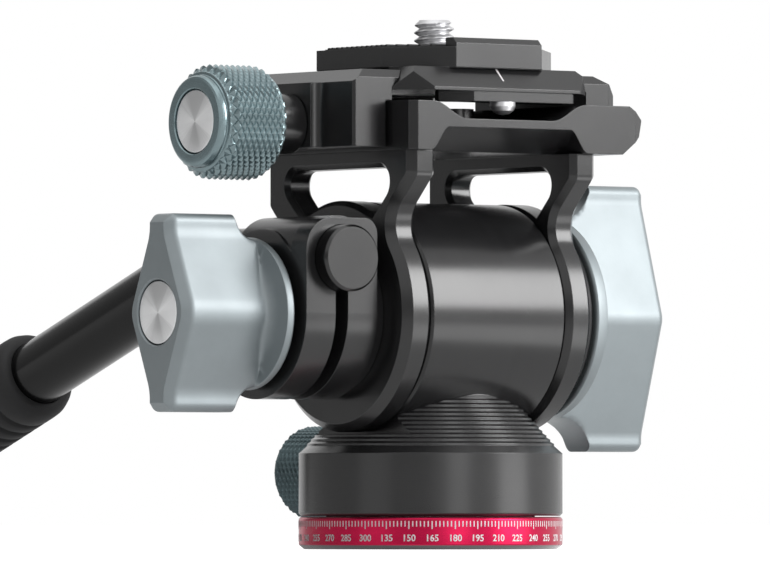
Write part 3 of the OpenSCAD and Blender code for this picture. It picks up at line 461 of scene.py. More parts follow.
def new_piece(name, shape, body, slot, material, *replaced, sharp=40.0):
    mesh = bpy.data.meshes.new(name)
    bmesh.ops.recalc_face_normals(shape, faces=shape.faces)
    shape.to_mesh(mesh)
    shape.free()
    mesh.shade_smooth()
    mesh.set_sharp_from_angle(angle=math.radians(sharp))
    piece = bpy.data.objects.new(name, mesh)
    bpy.context.scene.collection.objects.link(piece)
    coat(piece, material)
    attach(piece, body)
    if replaced:
        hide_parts(*replaced)
    return piece


def solid_copy(node):
    shape = bmesh.new()
    shape.from_mesh(frame["nodes"][node].data)
    bmesh.ops.remove_doubles(shape, verts=shape.verts, dist=2e-6)
    bmesh.ops.dissolve_limit(shape, angle_limit=math.radians(0.5), use_dissolve_boundaries=False,
                             verts=shape.verts, edges=shape.edges)
    return shape


def sew(shape, rings):
    """Joins closed rings of the same count, each to the next, by a band of faces."""
    for lower, upper in zip(rings, rings[1:]):
        for j in range(len(lower)):
            shape.faces.new((lower[j - 1], lower[j], upper[j], upper[j - 1]))


def sew_shut(shape, rings):
    """Joins the rings and closes both ends."""
    sew(shape, rings)
    shape.faces.new(rings[0][::-1])
    shape.faces.new(rings[-1])


def round_edges(shape, width, sharper_than):
    hard = [edge for edge in shape.edges
            if edge.is_manifold and edge.calc_face_angle(0.0) > math.radians(sharper_than)]
    bmesh.ops.bevel(shape, geom=hard, offset=width, offset_type="OFFSET", segments=2, profile=0.5,
                    affect="EDGES", clamp_overlap=False, loop_slide=True)
    bmesh.ops.triangulate(shape, faces=[face for face in shape.faces if len(face.verts) > 4])


ROUNDED_NODES = ("pressure_plate", "clamp_collar", "scale_ring", "hub_washer", "hub_rosette")
RIM_BAND = 0.4 * MM
HARD_EDGE = 28.0


class HEAD_OT_soft_edges(bpy.types.Operator):
    """Gives the turned parts the small rounds of broken edges"""
    bl_idname = "head.soft_edges"
    bl_label = "Edge rounds"

    def execute(self, context):
        size = sizes()
        for node in ROUNDED_NODES:
            shape = solid_copy(node)
            slot = "black_anodised"
            if node == "scale_ring":
                slot = "crimson_anodised"
                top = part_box(node)[1].z
                for vertex in shape.verts:
                    if vertex.co.z > top - RIM_BAND:
                        vertex.co.z += size.ring_rise
            round_edges(shape, size.rim_round, HARD_EDGE)
            piece = new_piece(node + "_rounded", shape, body_of(node), slot, finish_of(node), node,
                              sharp=50.0)
            weigh = piece.modifiers.new("face weighted shading", "WEIGHTED_NORMAL")
            weigh.keep_sharp = True
        return {"FINISHED"}


def rounded_corner(corner, before, after, radius, steps=8):
    """Points of a round at a corner of an outline."""
    u, v = (before - corner).normalized(), (after - corner).normalized()
    half = u.angle(v) / 2
    reach = radius / math.tan(half)
    middle = corner + (u + v).normalized() * radius / math.sin(half)
    start, end = corner + u * reach - middle, corner + v * reach - middle
    return [middle + start.lerp(end, i / steps).normalized() * radius for i in range(steps + 1)]


def outward(points):
    """Unit normals of a closed outline that runs round anticlockwise."""
    ways = []
    for i in range(len(points)):
        along = (points[(i + 1) % len(points)] - points[i - 1]).normalized()
        ways.append(Vector((along.y, -along.x)))
    return ways


def inset(points, ways, depth):
    return [point - way * depth for point, way in zip(points, ways)]


def mirrored(points):
    return [Vector((-point.x, point.y)) for point in reversed(points)]


def arc(centre, radius, start, turn, steps):
    """Points along an arc, from an angle and on through a turn."""
    turns = [start + turn * i / steps for i in range(steps + 1)]
    return [centre + Vector((math.cos(a), math.sin(a))) * radius for a in turns]


HOLLOW_STEPS, ROUND_END_STEPS, WINDOW_STEPS = 14, 110, 16


def flank(foot, ring, blend):
    """A leg's line below its foot: a slope at half a right angle, then a hollow into the round end."""
    out, down = Vector((-1.0, -1.0)).normalized(), Vector((1.0, -1.0)).normalized()
    across = foot.dot(out) + blend
    hollow = out * across - down * math.sqrt((ring + blend) ** 2 - across ** 2)
    start = math.atan2(-out.y, -out.x)
    end = math.atan2(-hollow.y, -hollow.x)
    return arc(hollow, blend, start, end - start, HOLLOW_STEPS)


class HEAD_OT_yoke(bpy.types.Operator):
    """Mills the yoke's arms, with hollowed legs, bevelled rims and windows, and the strap that joins them"""
    bl_idname = "head.yoke"
    bl_label = "Yoke"

    def execute(self, context):
        size = sizes()
        low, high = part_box("yoke")
        axis = TILT_AXIS[2]
        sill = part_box("clamp_body")[0].z
        top, ring, middle = sill - axis, axis - low.z, Vector((0.0, 0.0))
        legs = []
        for reach, rise in ((-low.y, size.front_foot), (size.rear_reach, size.rear_foot)):
            corner, head = Vector((-reach, rise)), Vector((-reach, top))
            bend = rounded_corner(corner, head, corner + Vector((1.0, -1.0)), size.foot_round)
            legs.append([head, *bend, *flank(corner, ring, size.leg_hollow)])
        front, rear = legs[0], mirrored(legs[1])
        start, end = (math.atan2(spot.y, spot.x) for spot in (front[-1], rear[0]))
        round_end = arc(middle, ring, start, (end - start) % TURN, ROUND_END_STEPS)
        outline = front + round_end[1:-1] + rear
        ways = outward(outline)
        ways[0], ways[-1] = Vector((-1.0, 0.0)), Vector((1.0, 0.0))
        shape = bmesh.new()
        for side in (-1, 1):
            self.arm(shape, side, outline, ways, self.window(top))
        for vertex in bmesh.ops.create_cube(shape, size=1.0)["verts"]:
            x, y, z = vertex.co
            vertex.co = (2 * x * size.strap_half, 2 * y * size.strap_reach,
                         sill + (z + 0.5) * (high.z - sill))
        new_piece("yoke_milled", shape, "tilt", "black_anodised", "black anodised", "yoke", sharp=30.0)
        return {"FINISHED"}

    def window(self, top):
        """Outline of a window, whose foot follows the drum."""
        size = sizes()
        rail, half, turn, drum = top - size.window_rail, size.window_half, size.window_turn, size.window_foot
        gap = (turn - half) / 2
        low = math.sqrt(drum ** 2 / 2 - gap ** 2)
        corner, bend, foot = Vector((half, rail)), Vector((half, turn)), Vector((low - gap, low + gap))
        right = rounded_corner(bend, foot, corner, size.window_bend)
        right += rounded_corner(corner, bend, Vector((0.0, rail)), size.window_corner)
        meet = math.atan2(foot.y, foot.x)
        foot_line = arc(Vector((0.0, 0.0)), drum, math.pi - meet, 2 * meet - math.pi, WINDOW_STEPS)
        return right + mirrored(right) + foot_line

    def arm(self, shape, side, outline, ways, window):
        size = sizes()
        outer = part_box("yoke")[1].x
        inner = outer - size.arm_thick

        def ring_at(x, points):
            return [shape.verts.new((side * x, point.x, TILT_AXIS[2] + point.y)) for point in points]

        rims = [ring_at(inner, inset(outline, ways, size.inner_bevel)),
                ring_at(inner + size.inner_bevel, outline), ring_at(outer - size.outer_bevel, outline),
                ring_at(outer, inset(outline, ways, size.outer_bevel))]
        flare = inset(window, outward(window), -size.window_bevel)
        jambs = [ring_at(inner, flare), ring_at(inner + size.window_bevel, window),
                 ring_at(outer - size.window_bevel, window), ring_at(outer, flare)]
        sew(shape, rims)
        sew(shape, jambs)
        for loops in ((rims[0], jambs[0]), (rims[-1], jambs[-1])):
            edges = [shape.edges.get((loop[j - 1], loop[j])) for loop in loops for j in range(len(loop))]
            bmesh.ops.triangle_fill(shape, use_beauty=True, use_dissolve=False, edges=edges, normal=ALONG_X)


def box_mark(shape, corners, depth):
    """A thin closed plate whose outer face has these corners, set back by depth along its own normal."""
    a, b, c = corners[:3]
    back = (b - a).cross(c - a).normalized() * depth
    sew_shut(shape, [[shape.verts.new(corner) for corner in corners],
                     [shape.verts.new(corner - back) for corner in corners]])


def on_ring(turn, height, radius):
    return Vector((radius * math.sin(turn), -radius * math.cos(turn), height))


FIGURES = 36
MARKS_PER_FIGURE = 6
FIRST_FIGURE = 135
FIGURE_STEP = 15
FIRST_ANGLE = math.radians(-56.6)


class HEAD_OT_pan_scale(bpy.types.Operator):
    """Prints the marks and figures of the pan scale on the crimson ring"""
    bl_idname = "head.pan_scale"
    bl_label = "Pan scale"

    def execute(self, context):
        size = sizes()
        low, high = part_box("scale_ring")
        ring = (high.x - low.x) / 2
        proud, half = ring + size.mark_proud, size.tick_width / 2 / ring
        marks = bmesh.new()
        for i in range(FIGURES * MARKS_PER_FIGURE):
            middle = FIRST_ANGLE + TURN * i / (FIGURES * MARKS_PER_FIGURE)
            left, right = middle - half, middle + half
            foot = size.tick_low if i % MARKS_PER_FIGURE else size.long_low
            corners = ((left, foot), (right, foot), (right, size.tick_top), (left, size.tick_top))
            box_mark(marks, [on_ring(turn, height, proud) for turn, height in corners], size.mark_depth)
        new_piece("scale_marks", marks, "base", "crimson_anodised", "white print")
        figures = bmesh.new()
        for i in range(FIGURES):
            mesh = self.figure(str((FIRST_FIGURE + FIGURE_STEP * i) % 360))
            middle = FIRST_ANGLE + TURN * i / FIGURES
            for vertex in mesh.vertices:
                x, y, z = vertex.co
                vertex.co = on_ring(middle + size.figure_width * x / ring, size.figure_low + y, ring + z)
            figures.from_mesh(mesh)
            bpy.data.meshes.remove(mesh)
        bmesh.ops.remove_doubles(figures, verts=figures.verts, dist=1e-7)
        new_piece("scale_figures", figures, "base", "crimson_anodised", "white print")
        return {"FINISHED"}

    def figure(self, digits):
        """A flat mesh of one figure, centred on its foot."""
        size = sizes()
        words = bpy.data.curves.new("figure", "FONT")
        words.body, words.size, words.align_x = digits, size.figure_size, "CENTER"
        words.extrude, words.offset, words.resolution_u = size.mark_proud, size.figure_bold, 4
        holder = bpy.data.objects.new("figure", words)
        bpy.context.scene.collection.objects.link(holder)
        bpy.context.view_layer.update()
        mesh = bpy.data.meshes.new_from_object(holder)
        bpy.data.objects.remove(holder)
        return mesh


def about(start, way, across, up):
    """Places a point by its way along an axis, its radius and its angle."""
    way, across, up = Vector(way), Vector(across), Vector(up)

    def place(along, radius, turn):
        return start + way * along + across * (radius * math.cos(turn)) + up * (radius * math.sin(turn))
    return place


def profile(along, radius, way, *steps):
    """Rows of a turned outline, in steps of millimetres along and in from one corner."""
    return [(along + way * on * MM, radius - drop * MM) for on, drop in steps]


def lathe(shape, rows, place, steps, cut=None):
    """Turns rows of (along, radius) round an axis; a third value is the depth that cut shares out."""
    deep = [sum(row[2:]) for row in rows]
    rings = []
    for (along, radius, *_), depth in zip(rows, deep):
        if radius == 0.0:
            rings.append([shape.verts.new(place(along, 0.0, 0.0))] * steps)
            continue
        drops = [depth * cut(along, j) if depth else 0.0 for j in range(steps)]
        rings.append([shape.verts.new(place(along, radius - drop, TURN * j / steps))
                      for j, drop in enumerate(drops)])
    for i in range(len(rows) - 1):
        here, there = rows[i][0], rows[i + 1][0]
        for j in range(steps):
            k = (j + 1) % steps
            corners = []
            for vertex in (rings[i][j], rings[i][k], rings[i + 1][k], rings[i + 1][j]):
                if vertex not in corners:
                    corners.append(vertex)
            if deep[i] + deep[i + 1] == 0.0:
                shape.faces.new(corners)
                continue
            middle = cut((here + there) / 2, j + 0.5)
            first, other = cut(here, j) + cut(there, k), cut(here, k) + cut(there, j)
            a, b, c, d = corners
            if abs(first / 2 - middle) <= abs(other / 2 - middle):
                halves = (a, b, c), (a, c, d)
            else:
                halves = (a, b, d), (b, c, d)
            for half in halves:
                shape.faces.new(half)


def blend_low(a, b, soft):
    """The lower of two values, with a soft change from one to the other."""
    share_over = max(0.0, soft - abs(a - b)) / soft
    return min(a, b) - share_over * share_over * soft / 4


WING_STEP = 0.7 * MM


def wing_outline(half, reach, tip, straight, ridge_round, tip_round):
    """Outline of a wing knob across its axis: a round ridge at each side, a straight tip up and down."""
    lean = math.atan2(half - tip, reach - straight)
    ridge = half + ridge_round * (1 / math.cos(lean) - 1)
    quarter = [(Vector((ridge, 0.0)), ridge_round), (Vector((tip, reach - straight)), ridge_round),
               (Vector((tip, reach)), tip_round)]
    upper = quarter + [(Vector((-spot.x, spot.y)), radius) for spot, radius in quarter[:0:-1]]
    corners = upper + [(-spot, radius) for spot, radius in upper]
    bends = []
    for i, (corner, radius) in enumerate(corners):
        bends.append(rounded_corner(corner, corners[i - 1][0], corners[(i + 1) % len(corners)][0], radius))
    points = []
    for i, bend in enumerate(bends):
        points += bend
        far = bends[(i + 1) % len(bends)][0]
        steps = max(1, round((far - bend[-1]).length / WING_STEP))
        points += [bend[-1].lerp(far, j / steps) for j in range(1, steps)]
    return points


def soft_line(points, reach, steps=4):
    """A broken line with each inner corner taken round."""
    line = [points[0]]
    for before, corner, after in zip(points, points[1:], points[2:]):
        start = corner + (before - corner).normalized() * reach
        end = corner + (after - corner).normalized() * reach
        for i in range(steps + 1):
            way = i / steps
            line.append(start.lerp(corner, way).lerp(corner.lerp(end, way), way))
    return line + [points[-1]]


SWEEP_STEPS = 28
FLARE_PAST_TIP, NECK_INSIDE = 0.5 * MM, 0.6 * MM
FLARE_TO_SIDE, END_SOFT = 0.4 * MM, 0.5 * MM


class HEAD_OT_wing_knobs(bpy.types.Operator):
    """Sculpts the two wing knobs: round collar, swept neck, soft ridge and bevelled end with a disc seat"""
    bl_idname = "head.wing_knobs"
    bl_label = "Wing knobs"

    def execute(self, context):
        size = sizes()
        self.knob("tilt_knob", 1, size.ridge_round, half=8.7 * MM, collar=2.2 * MM, flared=8.9 * MM,
                  filled=6.5 * MM, slant=1.2 * MM, straight=2.6 * MM, wall=1.2 * MM, end_wall=7.3 * MM)
        self.knob("handle_knob", -1, size.small_ridge_round, half=8.0 * MM, collar=1.6 * MM, flared=5.3 * MM,
                  filled=3.6 * MM, slant=1.4 * MM, straight=3.0 * MM, wall=2.0 * MM, end_wall=6.8 * MM)
        return {"FINISHED"}

    def knob(self, node, side, ridge_round, half, collar, flared, filled, slant, straight, wall, end_wall):
        size = sizes()
        low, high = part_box(node)
        foot, span, reach = (low.x if side > 0 else high.x), high.x - low.x, (high.z - low.z) / 2
        rim, soft, bore = (high.y - low.y) / 2, size.knob_round, half - wall
        centre = (low + high) / 2
        wide = wing_outline(half, reach, size.tip_half, straight, ridge_round, size.tip_round)
        narrow = inset(wide, outward(wide), slant)
        shape = bmesh.new()

        def ring_at(along, points):
            return [shape.verts.new((foot + side * along, centre.y + point.x, centre.z + point.y))
                    for point in points]

        def circles(rows):
            return [ring_at(along, [point.normalized() * radius for point in wide]) for along, radius in rows]

        def swept(flare, neck):
            points = []
            for point in wide:
                wing = blend_low(point.length, flare, soft)
                points.append(point.normalized() * -blend_low(-wing, -neck, soft))
            return points

        rings = circles([(span - end_wall, bore), (0.0, bore)])
        rings += circles(profile(0.0, rim, 1, (0.0, 0.5), (0.12, 0.2), (0.4, 0.0)))
        rings += circles(profile(collar, rim, -1, (0.25, 0.0), (0.06, 0.07)))
        for i in range(1, SWEEP_STEPS + 1):
            turn = math.pi / 2 * i / SWEEP_STEPS
            along = collar + (flared - collar) * math.sin(turn)
            flare = rim + (reach + FLARE_PAST_TIP - rim) * (1 - math.cos(turn))
            fall = max(0.0, 1 - (along - collar) / (filled - collar))
            neck = rim + (half - NECK_INSIDE - rim) * math.sqrt(1 - fall * fall)
            rings.append(ring_at(along, swept(flare, neck)))
        end = [Vector((flared + FLARE_TO_SIDE, 0.0)), Vector((span - slant, 0.0)), Vector((span, slant))]
        for spot in soft_line(end, END_SOFT):
            rings.append(ring_at(spot.x, [a.lerp(b, spot.y / slant) for a, b in zip(wide, narrow)]))
        rings += circles(profile(span, size.disc_seat, -1, (0.0, -0.22), (0.2, 0.0), (0.9, 0.0)))
        sew_shut(shape, rings)
        new_piece(node + "_sculpted", shape, body_of(node), "blue_grey_metal", "blue grey knob", node,
                  sharp=35.0)


COLUMNS_PER_DIAMOND = 4
GROOVE_SHARE = 0.8


def diamond(pitch, start):
    """Share of the knurl's depth cut away at a place: none on a diamond's top, all of it in the grooves."""
    def share_cut(along, column):
        turn, way = column / COLUMNS_PER_DIAMOND, (along - start) / pitch
        gap = min(abs((turn + way + 0.5) % 1 - 0.5), abs((turn - way + 0.5) % 1 - 0.5))
        return 1 - min(1.0, gap * 2 / GROOVE_SHARE)
    return share_cut


def between(along, points):
    """Height of a broken line through the points at a place along it."""
    for (x0, y0), (x1, y1) in zip(points, points[1:]):
        if along <= x1:
            return y0 + (y1 - y0) * (along - x0) / (x1 - x0)
    return points[-1][1]


def knurl_rows(start, end, edge):
    """Rows of a knurl under a broken outline, with the cuts fading in and out at its ends."""
    size = sizes()
    steps = max(4, round((end - start) / size.knurl_pitch * COLUMNS_PER_DIAMOND))
    rows = []
    for i in range(steps + 1):
        along = start + i * size.knurl_pitch / COLUMNS_PER_DIAMOND
        fade = min(1.0, i / 2, (steps - i) / 2)
        rows.append((along, between(along, edge), size.knurl_depth * fade))
    return rows


class HEAD_OT_knurled_knobs(bpy.types.Operator):
    """Cuts the diamond knurls of the clamp knob and the pan knob"""
    bl_idname = "head.knurled_knobs"
    bl_label = "Knurled knobs"

    def execute(self, context):
        size = sizes()
        low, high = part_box("clamp_knob")
        middle = (low + high) / 2
        radius, span, start = (high.z - low.z) / 2, high.x - low.x, 1.5 * MM
        edge = profile(0.0, radius, 1, (1.5, 1.25), (2.7, 0.0))
        edge += profile(span, radius, -1, (1.0, 0.0), (0.0, 0.9))
        seat = size.disc_seat
        rows = [(0.9 * MM, 0.0)] + profile(0.0, seat, 1, (0.9, 0.0), (0.15, 0.0), (0.0, -0.15), (0.0, -1.2),
                                           (0.06, -1.55), (0.24, -1.85), (0.55, -2.05), (0.9, -2.13),
                                           (1.25, -2.13), (1.4, -2.25))
        rows += knurl_rows(start, span - 0.05 * MM, edge)
        rows += [(span, radius - 1.3 * MM), (span, 0.0)]
        shape = bmesh.new()
        lathe(shape, rows, about(Vector((low.x, middle.y, middle.z)), ALONG_X, ALONG_Y, ALONG_Z),
              COLUMNS_PER_DIAMOND * size.clamp_diamonds, diamond(size.knurl_pitch, start))
        new_piece("clamp_knob_knurled", shape, "clamp_lock", "teal_metal", "teal knob", "clamp_knob",
                  sharp=12.0)

        low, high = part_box("pan_knob")
        middle = (low + high) / 2
        radius, span, start = (high.z - low.z) / 2, high.y - low.y, 0.3 * MM
        edge = profile(0.0, radius, 1, (0.3, 0.8), (1.1, 0.0))
        edge += profile(span, radius, -1, (2.3, 0.0), (1.3, 0.9))
        rows = [(0.0, 0.0), (0.0, radius - 1.2 * MM)] + knurl_rows(start, span - 1.3 * MM, edge)
        rows += profile(span, radius, -1, (1.2, 1.5), (0.9, 1.5), (0.35, 1.65), (0.08, 2.0), (0.0, 2.4),
                        (0.0, 3.4), (0.4, 3.9))
        rows.append((span - 0.4 * MM, 0.0))
        shape = bmesh.new()
        lathe(shape, rows, about(Vector((middle.x, low.y, middle.z)), ALONG_Y, ALONG_X, ALONG_Z),
              COLUMNS_PER_DIAMOND * size.pan_diamonds, diamond(size.knurl_pitch, start))
        new_piece("pan_knob_knurled", shape, "pan_lock", "dark_teal_metal", "dark teal knob", "pan_knob",
                  sharp=12.0)
        return {"FINISHED"}


ROUND_STEPS = 96


class HEAD_OT_knob_discs(bpy.types.Operator):
    """Sets a brushed disc with a broken rim into each knob"""
    bl_idname = "head.knob_discs"
    bl_label = "Knob discs"

    def execute(self, context):
        sink = sizes().disc_sink
        for node, side in (("clamp_knob_disc", 1), ("handle_knob_disc", 1), ("tilt_knob_disc", -1)):
            low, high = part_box(node)
            face, thick = (low.x if side > 0 else high.x), high.x - low.x
            middle, radius = (low + high) / 2, (high.z - low.z) / 2
            rows = [(sink + 0.03 * MM, 0.0), (sink + 0.03 * MM, 0.3 * MM), (sink, 0.5 * MM)]
            rows += profile(sink, radius, 1, (0.0, 0.5), (0.05, 0.28), (0.3, 0.1))
            rows += [(thick, radius - 0.1 * MM), (thick, 0.0)]
            shape = bmesh.new()
            place = about(Vector((face, middle.y, middle.z)), (side, 0.0, 0.0), ALONG_Y, ALONG_Z)
            lathe(shape, rows, place, ROUND_STEPS)
            new_piece(node + "_brushed", shape, body_of(node), "bright_aluminium", finish_of(node), node)
        return {"FINISHED"}


THREAD_COLUMNS = 64
ROWS_PER_TURN = 10
TOOTH_SHARE, FLANK_SHARE = 0.82, 0.66
LEAD_IN, LEAD_SLOPE, RUN_OUT_SLOPE = 0.75 * MM, 0.9, 1.2
PAD_CLEARANCE = 0.12 * MM


class HEAD_OT_camera_thread(bpy.types.Operator):
    """Cuts the quarter inch thread of the camera screw"""
    bl_idname = "head.camera_thread"
    bl_label = "Camera thread"

    def execute(self, context):
        size = sizes()
        low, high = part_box("camera_screw")
        top, foot = high.z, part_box("plate_pad")[1].z + PAD_CLEARANCE
        middle, crest, root = (low + high) / 2, size.thread_crest, size.thread_crest - size.thread_depth
        shape = solid_copy("camera_screw")
        bmesh.ops.bisect_plane(shape, geom=shape.verts[:] + shape.edges[:] + shape.faces[:],
                               plane_co=(0.0, 0.0, foot), plane_no=ALONG_Z, clear_outer=True)
        bmesh.ops.holes_fill(shape, edges=[edge for edge in shape.edges if edge.is_boundary])
        rows = math.ceil((top - foot) / size.thread_pitch * ROWS_PER_TURN)
        rings = []
        for i in range(rows + 1):
            z = foot + (top - foot) * i / rows
            lead_in = crest - LEAD_IN + (top - z) * LEAD_SLOPE
            run_out = root + (z - foot) * RUN_OUT_SLOPE
            ring = []
            for j in range(THREAD_COLUMNS):
                turn = TURN * j / THREAD_COLUMNS
                phase = ((z - foot) / size.thread_pitch - j / THREAD_COLUMNS) % 1
                tooth = min(1.0, max(0.0, (TOOTH_SHARE - abs(phase - 0.5) * 2) / FLANK_SHARE))
                radius = min(root + size.thread_depth * tooth, lead_in, max(run_out, root))
                ring.append(shape.verts.new((middle.x + radius * math.cos(turn),
                                             middle.y + radius * math.sin(turn), z)))
            rings.append(ring)
        sew_shut(shape, rings)
        new_piece("camera_screw_threaded", shape, "camera_screw", "steel", "steel", "camera_screw",
                  sharp=30.0)
        return {"FINISHED"}


class HEAD_OT_index_line(bpy.types.Operator):
    """Prints the white index line on the front slope of the plate"""
    bl_idname = "head.index_line"
    bl_label = "Index line"

    def execute(self, context):
        size = sizes()
        plate = frame["nodes"]["qr_plate"].data
        skin = BVHTree.FromPolygons([v.co for v in plate.vertices], [p.vertices for p in plate.polygons])
        low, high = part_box("qr_plate")
        middle, ahead = (low.x + high.x) / 2, low.y - 10.0 * MM
        ends = []
        for z in (size.line_foot, size.line_top):
            spot, facing, _, _ = skin.ray_cast(Vector((middle, ahead, z)), Vector(ALONG_Y))
            if spot is None:
                raise RuntimeError("the plate's front slope was not found")
            ends.append(spot + facing * size.line_proud)
        foot, top = ends
        side = Vector((size.line_width / 2, 0.0, 0.0))
        shape = bmesh.new()
        box_mark(shape, [foot - side, foot + side, top + side, top - side], size.line_depth)
        new_piece("index_line", shape, "plate", "black_anodised", "white print")
        return {"FINISHED"}


GROOVE_PROFILE = ((-0.75, 0.0), (-0.6, 0.15), (-0.35, 0.85), (0.0, 1.0), (0.35, 0.85), (0.6, 0.15),
                  (0.75, 0.0))


class HEAD_OT_grip(bpy.types.Operator):
    """Turns the grooved rubber grip on the handle"""
    bl_idname = "head.grip"
    bl_label = "Grip"

    def execute(self, context):
        size = sizes()
        low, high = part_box("handle_grip")
        way = Vector((0.0, math.cos(size.grip_fall), -math.sin(size.grip_fall)))
        spots = [vertex.co for vertex in frame["nodes"]["handle_grip"].data.vertices]
        reach = [spot.dot(way) for spot in spots]
        near, far = min(reach), max(reach)
        ends = [spot for spot, along in zip(spots, reach) if along < near + 0.01 * MM]
        start = sum(ends, Vector()) / len(ends)
        span, radius, bore = far - near, (high.x - low.x) / 2, size.grip_bore
        rows = [(0.0, bore)]
        rows += profile(0.0, radius, 1, (0.0, 1.4), (0.25, 0.9), (0.9, 0.4), (2.0, 0.05), (3.2, 0.0))
        groove = size.grip_lead
        while groove < span - size.grip_tail:
            rows += [(groove + part * MM, radius - deep * size.grip_groove) for part, deep in GROOVE_PROFILE]
            groove += size.grip_pitch
        rows += profile(span, radius, -1, (0.5, 0.0), (0.1, 0.2), (0.0, 0.5)) + [(span, bore), (0.0, bore)]
        shape = bmesh.new()
        lathe(shape, rows, about(start, way, ALONG_X, Vector(ALONG_X).cross(way)), ROUND_STEPS)
        bmesh.ops.remove_doubles(shape, verts=shape.verts, dist=1e-7)
        new_piece("handle_grip_grooved", shape, "handle", "black_rubber", "rubber", "handle_grip")
        return {"FINISHED"}


WEB_SHARE = 0.4
FIRST_RIB, LAST_RIB, RIB_INSET = 0.7 * MM, 0.5 * MM, 0.6 * MM
RIB_PROFILE = ((-0.34, -0.2), (-0.26, 0.75), (-0.12, 1.0), (0.12, 1.0), (0.26, 0.75), (0.34, -0.2))


class HEAD_OT_pad(bpy.types.Operator):
    """Moulds the ribbed rubber pad on the plate"""
    bl_idname = "head.pad"
    bl_label = "Plate pad"

    def execute(self, context):
        size = sizes()
        low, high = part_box("plate_pad")
        middle, half, hole = (low.x + high.x) / 2, (high.x - low.x) / 2, size.pad_hole
        web = low.z + (high.z - low.z) * WEB_SHARE
        shape = solid_copy("plate_pad")
        for vertex in shape.verts:
            vertex.co.z = min(vertex.co.z, web)
        y = low.y + FIRST_RIB
        while y < high.y - LAST_RIB:
            reach = min(half, 2 * half - size.pad_corner - abs(y)) - RIB_INSET
            spans = [(-reach, reach)]
            if abs(y) < hole:
                gap = math.sqrt(hole * hole - y * y)
                spans = [(-reach, -gap), (gap, reach)]
            for ends in spans:
                sew_shut(shape, [[shape.verts.new((middle + x, y + part * MM, web + lift * (high.z - web)))
                                  for part, lift in RIB_PROFILE] for x in ends])
            y += size.rib_pitch
        new_piece("plate_pad_ribbed", shape, "plate", "black_rubber", "rubber", "plate_pad")
        return {"FINISHED"}


def polar(turn, rise, distance):
    """A place round the part by its turn and rise in degrees and its distance."""
    turn, rise = math.radians(turn), math.radians(rise)
    level = math.cos(rise)
    return Vector((math.sin(turn) * level, -math.cos(turn) * level, math.sin(rise))) * distance


def set_facing(thing, spot, target):
    thing.location = spot
    thing.rotation_mode = "QUATERNION"
    thing.rotation_quaternion = (Vector(target) - Vector(spot)).to_track_quat("-Z", "Y")


def softbox(name, spot, target, wide, tall, watts):
    light = bpy.data.lights.new(name, "AREA")
    light.shape, light.size, light.size_y, light.energy = "RECTANGLE", wide, tall, watts
    lamp = bpy.data.objects.new(name, light)
    bpy.context.scene.collection.objects.link(lamp)
    set_facing(lamp, spot, target)


def stage_sheet(name, material, half):
    """A flat sheet of the stage, with a material whose shader is still to be made."""
    shape = bmesh.new()
    bmesh.ops.create_grid(shape, x_segments=8, y_segments=8, size=half)
    mesh = bpy.data.meshes.new(name)
    shape.to_mesh(mesh)
    shape.free()
    sheet = bpy.data.objects.new(name, mesh)
    bpy.context.scene.collection.objects.link(sheet)
    plain = bpy.data.materials.new(material)
    plain.use_nodes = True
    plain.node_tree.nodes.remove(plain.node_tree.nodes["Principled BSDF"])
    mesh.materials.append(plain)
    return sheet, plain.node_tree


def show(tree, shader):
    tree.links.new(shader.outputs[0], tree.nodes["Material Output"].inputs["Surface"])


def dark_flag(spot, target, wide, tall, level):
    """A grey card that only reflections see, which keeps a side of the metal dark."""
    flag, tree = stage_sheet("dark_flag", "grey card", 0.5)
    set_facing(flag, spot, target)
    flag.scale = (wide, tall, 1.0)
    flag.visible_camera = flag.visible_diffuse = flag.visible_shadow = flag.visible_transmission = False
    show(tree, put(tree, "Emission", {"Color": WHITE, "Strength": level}))


def seen_straight(tree):
    """One for camera, glossy and transmission rays, which show the white background."""
    ray = put(tree, "LightPath").outputs
    pair = maths(tree, "MAXIMUM", ray["Is Camera Ray"], ray["Is Glossy Ray"])
    return maths(tree, "MAXIMUM", pair, ray["Is Transmission Ray"])


SENSOR = 36.0
MIDDLE = (0.0, 0.0, 0.045)
FLOOR_HALF, FLOOR_DROP = 3.0, 0.02 * MM


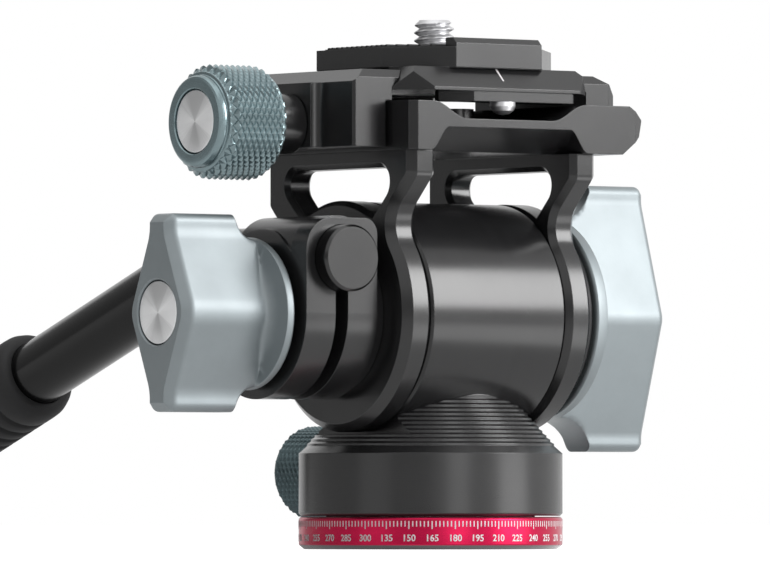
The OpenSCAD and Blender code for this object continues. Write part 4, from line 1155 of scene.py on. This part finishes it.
class HEAD_OT_stage(bpy.types.Operator):
    """Sets up the pale floor, the soft studio light and the camera"""
    bl_idname = "head.stage"
    bl_label = "Stage"

    def execute(self, context):
        scene = context.scene
        studio = scene.head_studio
        self.floor(studio)
        self.world(scene, studio)
        softbox("key softbox", polar(35.0, 23.0, 1.9), MIDDLE, wide=1.04, tall=1.02, watts=studio.key)
        softbox("front strip", polar(-13.0, 8.0, 0.95), MIDDLE, wide=0.30, tall=0.5, watts=studio.front)
        softbox("top softbox", (-0.15, -0.1, 1.0), MIDDLE, wide=0.9, tall=0.9, watts=studio.top)
        softbox("bounce light", (0.06, -0.09, 0.004), (0.04, -0.065, 0.08), wide=0.06, tall=0.08,
                watts=studio.bounce)
        dark_flag(polar(-142.0, 18.0, 0.8), MIDDLE, wide=1.4, tall=0.9, level=studio.left_card)
        dark_flag(polar(-54.0, 0.0, 1.9), MIDDLE, wide=1.3, tall=1.1, level=studio.front_card)
        self.camera(scene, studio)
        scene.view_settings.view_transform = "Standard"
        return {"FINISHED"}

    def floor(self, studio):
        sheet, tree = stage_sheet("floor", "pale floor", FLOOR_HALF)
        sheet.location.z = -FLOOR_DROP
        matt = put(tree, "BsdfDiffuse", {"Color": (*studio.floor, 1.0)})
        mirrored_glow = maths(tree, "MULTIPLY", seen_straight(tree), studio.floor_mirrored)
        camera_ray = put(tree, "LightPath").outputs["Is Camera Ray"]
        level = spread(tree, camera_ray, 0.0, 1.0, mirrored_glow, studio.floor_seen)
        glow = put(tree, "Emission", {"Color": WHITE, "Strength": level})
        show(tree, put(tree, "AddShader", {0: matt.outputs[0], 1: glow.outputs[0]}))

    def world(self, scene, studio):
        scene.world = bpy.data.worlds.new("studio")
        scene.world.use_nodes = True
        tree = scene.world.node_tree
        sky = tree.nodes["Background"].inputs
        sky["Color"].default_value = WHITE
        tree.links.new(spread(tree, seen_straight(tree), 0.0, 1.0, studio.fill, 1.0), sky["Strength"])

    def camera(self, scene, studio):
        back = polar(math.degrees(studio.azimuth), math.degrees(studio.elevation), studio.distance)
        lens = bpy.data.cameras.new("camera")
        lens.lens, lens.sensor_width = studio.focal, SENSOR
        lens.clip_start, lens.clip_end = 0.1, 20.0
        camera = bpy.data.objects.new("camera", lens)
        scene.collection.objects.link(camera)
        set_facing(camera, Vector(studio.aim) + back, studio.aim)
        scene.camera = camera


OPERATORS = (HEAD_OT_finishes, HEAD_OT_soft_edges, HEAD_OT_yoke, HEAD_OT_pan_scale, HEAD_OT_wing_knobs,
             HEAD_OT_knurled_knobs, HEAD_OT_knob_discs, HEAD_OT_camera_thread, HEAD_OT_index_line,
             HEAD_OT_grip, HEAD_OT_pad, HEAD_OT_stage)


class HEAD_PT_panel(bpy.types.Panel):
    """Lists the steps that dress the head"""
    bl_idname = "HEAD_PT_panel"
    bl_label = "Fluid head"
    bl_space_type = "VIEW_3D"
    bl_region_type = "UI"
    bl_category = "Fluid head"

    def draw(self, context):
        for step in OPERATORS:
            self.layout.operator(step.bl_idname)


GROUPS = {"head_sizes": HeadSizes, "head_colours": HeadColours, "head_studio": HeadStudio}
CLASSES = (*GROUPS.values(), *OPERATORS, HEAD_PT_panel)


def register():
    for item in CLASSES:
        bpy.utils.register_class(item)
    for name, group in GROUPS.items():
        setattr(bpy.types.Scene, name, PointerProperty(type=group))


def unregister():
    for name in GROUPS:
        delattr(bpy.types.Scene, name)
    for item in reversed(CLASSES):
        bpy.utils.unregister_class(item)


def main():
    register()
    bpy.ops.head.finishes()
    bpy.ops.head.soft_edges()
    bpy.ops.head.yoke()
    bpy.ops.head.pan_scale()
    bpy.ops.head.wing_knobs()
    bpy.ops.head.knurled_knobs()
    bpy.ops.head.knob_discs()
    bpy.ops.head.camera_thread()
    bpy.ops.head.index_line()
    bpy.ops.head.grip()
    bpy.ops.head.pad()
    bpy.ops.head.stage()


if __name__ == "__main__":
    main()
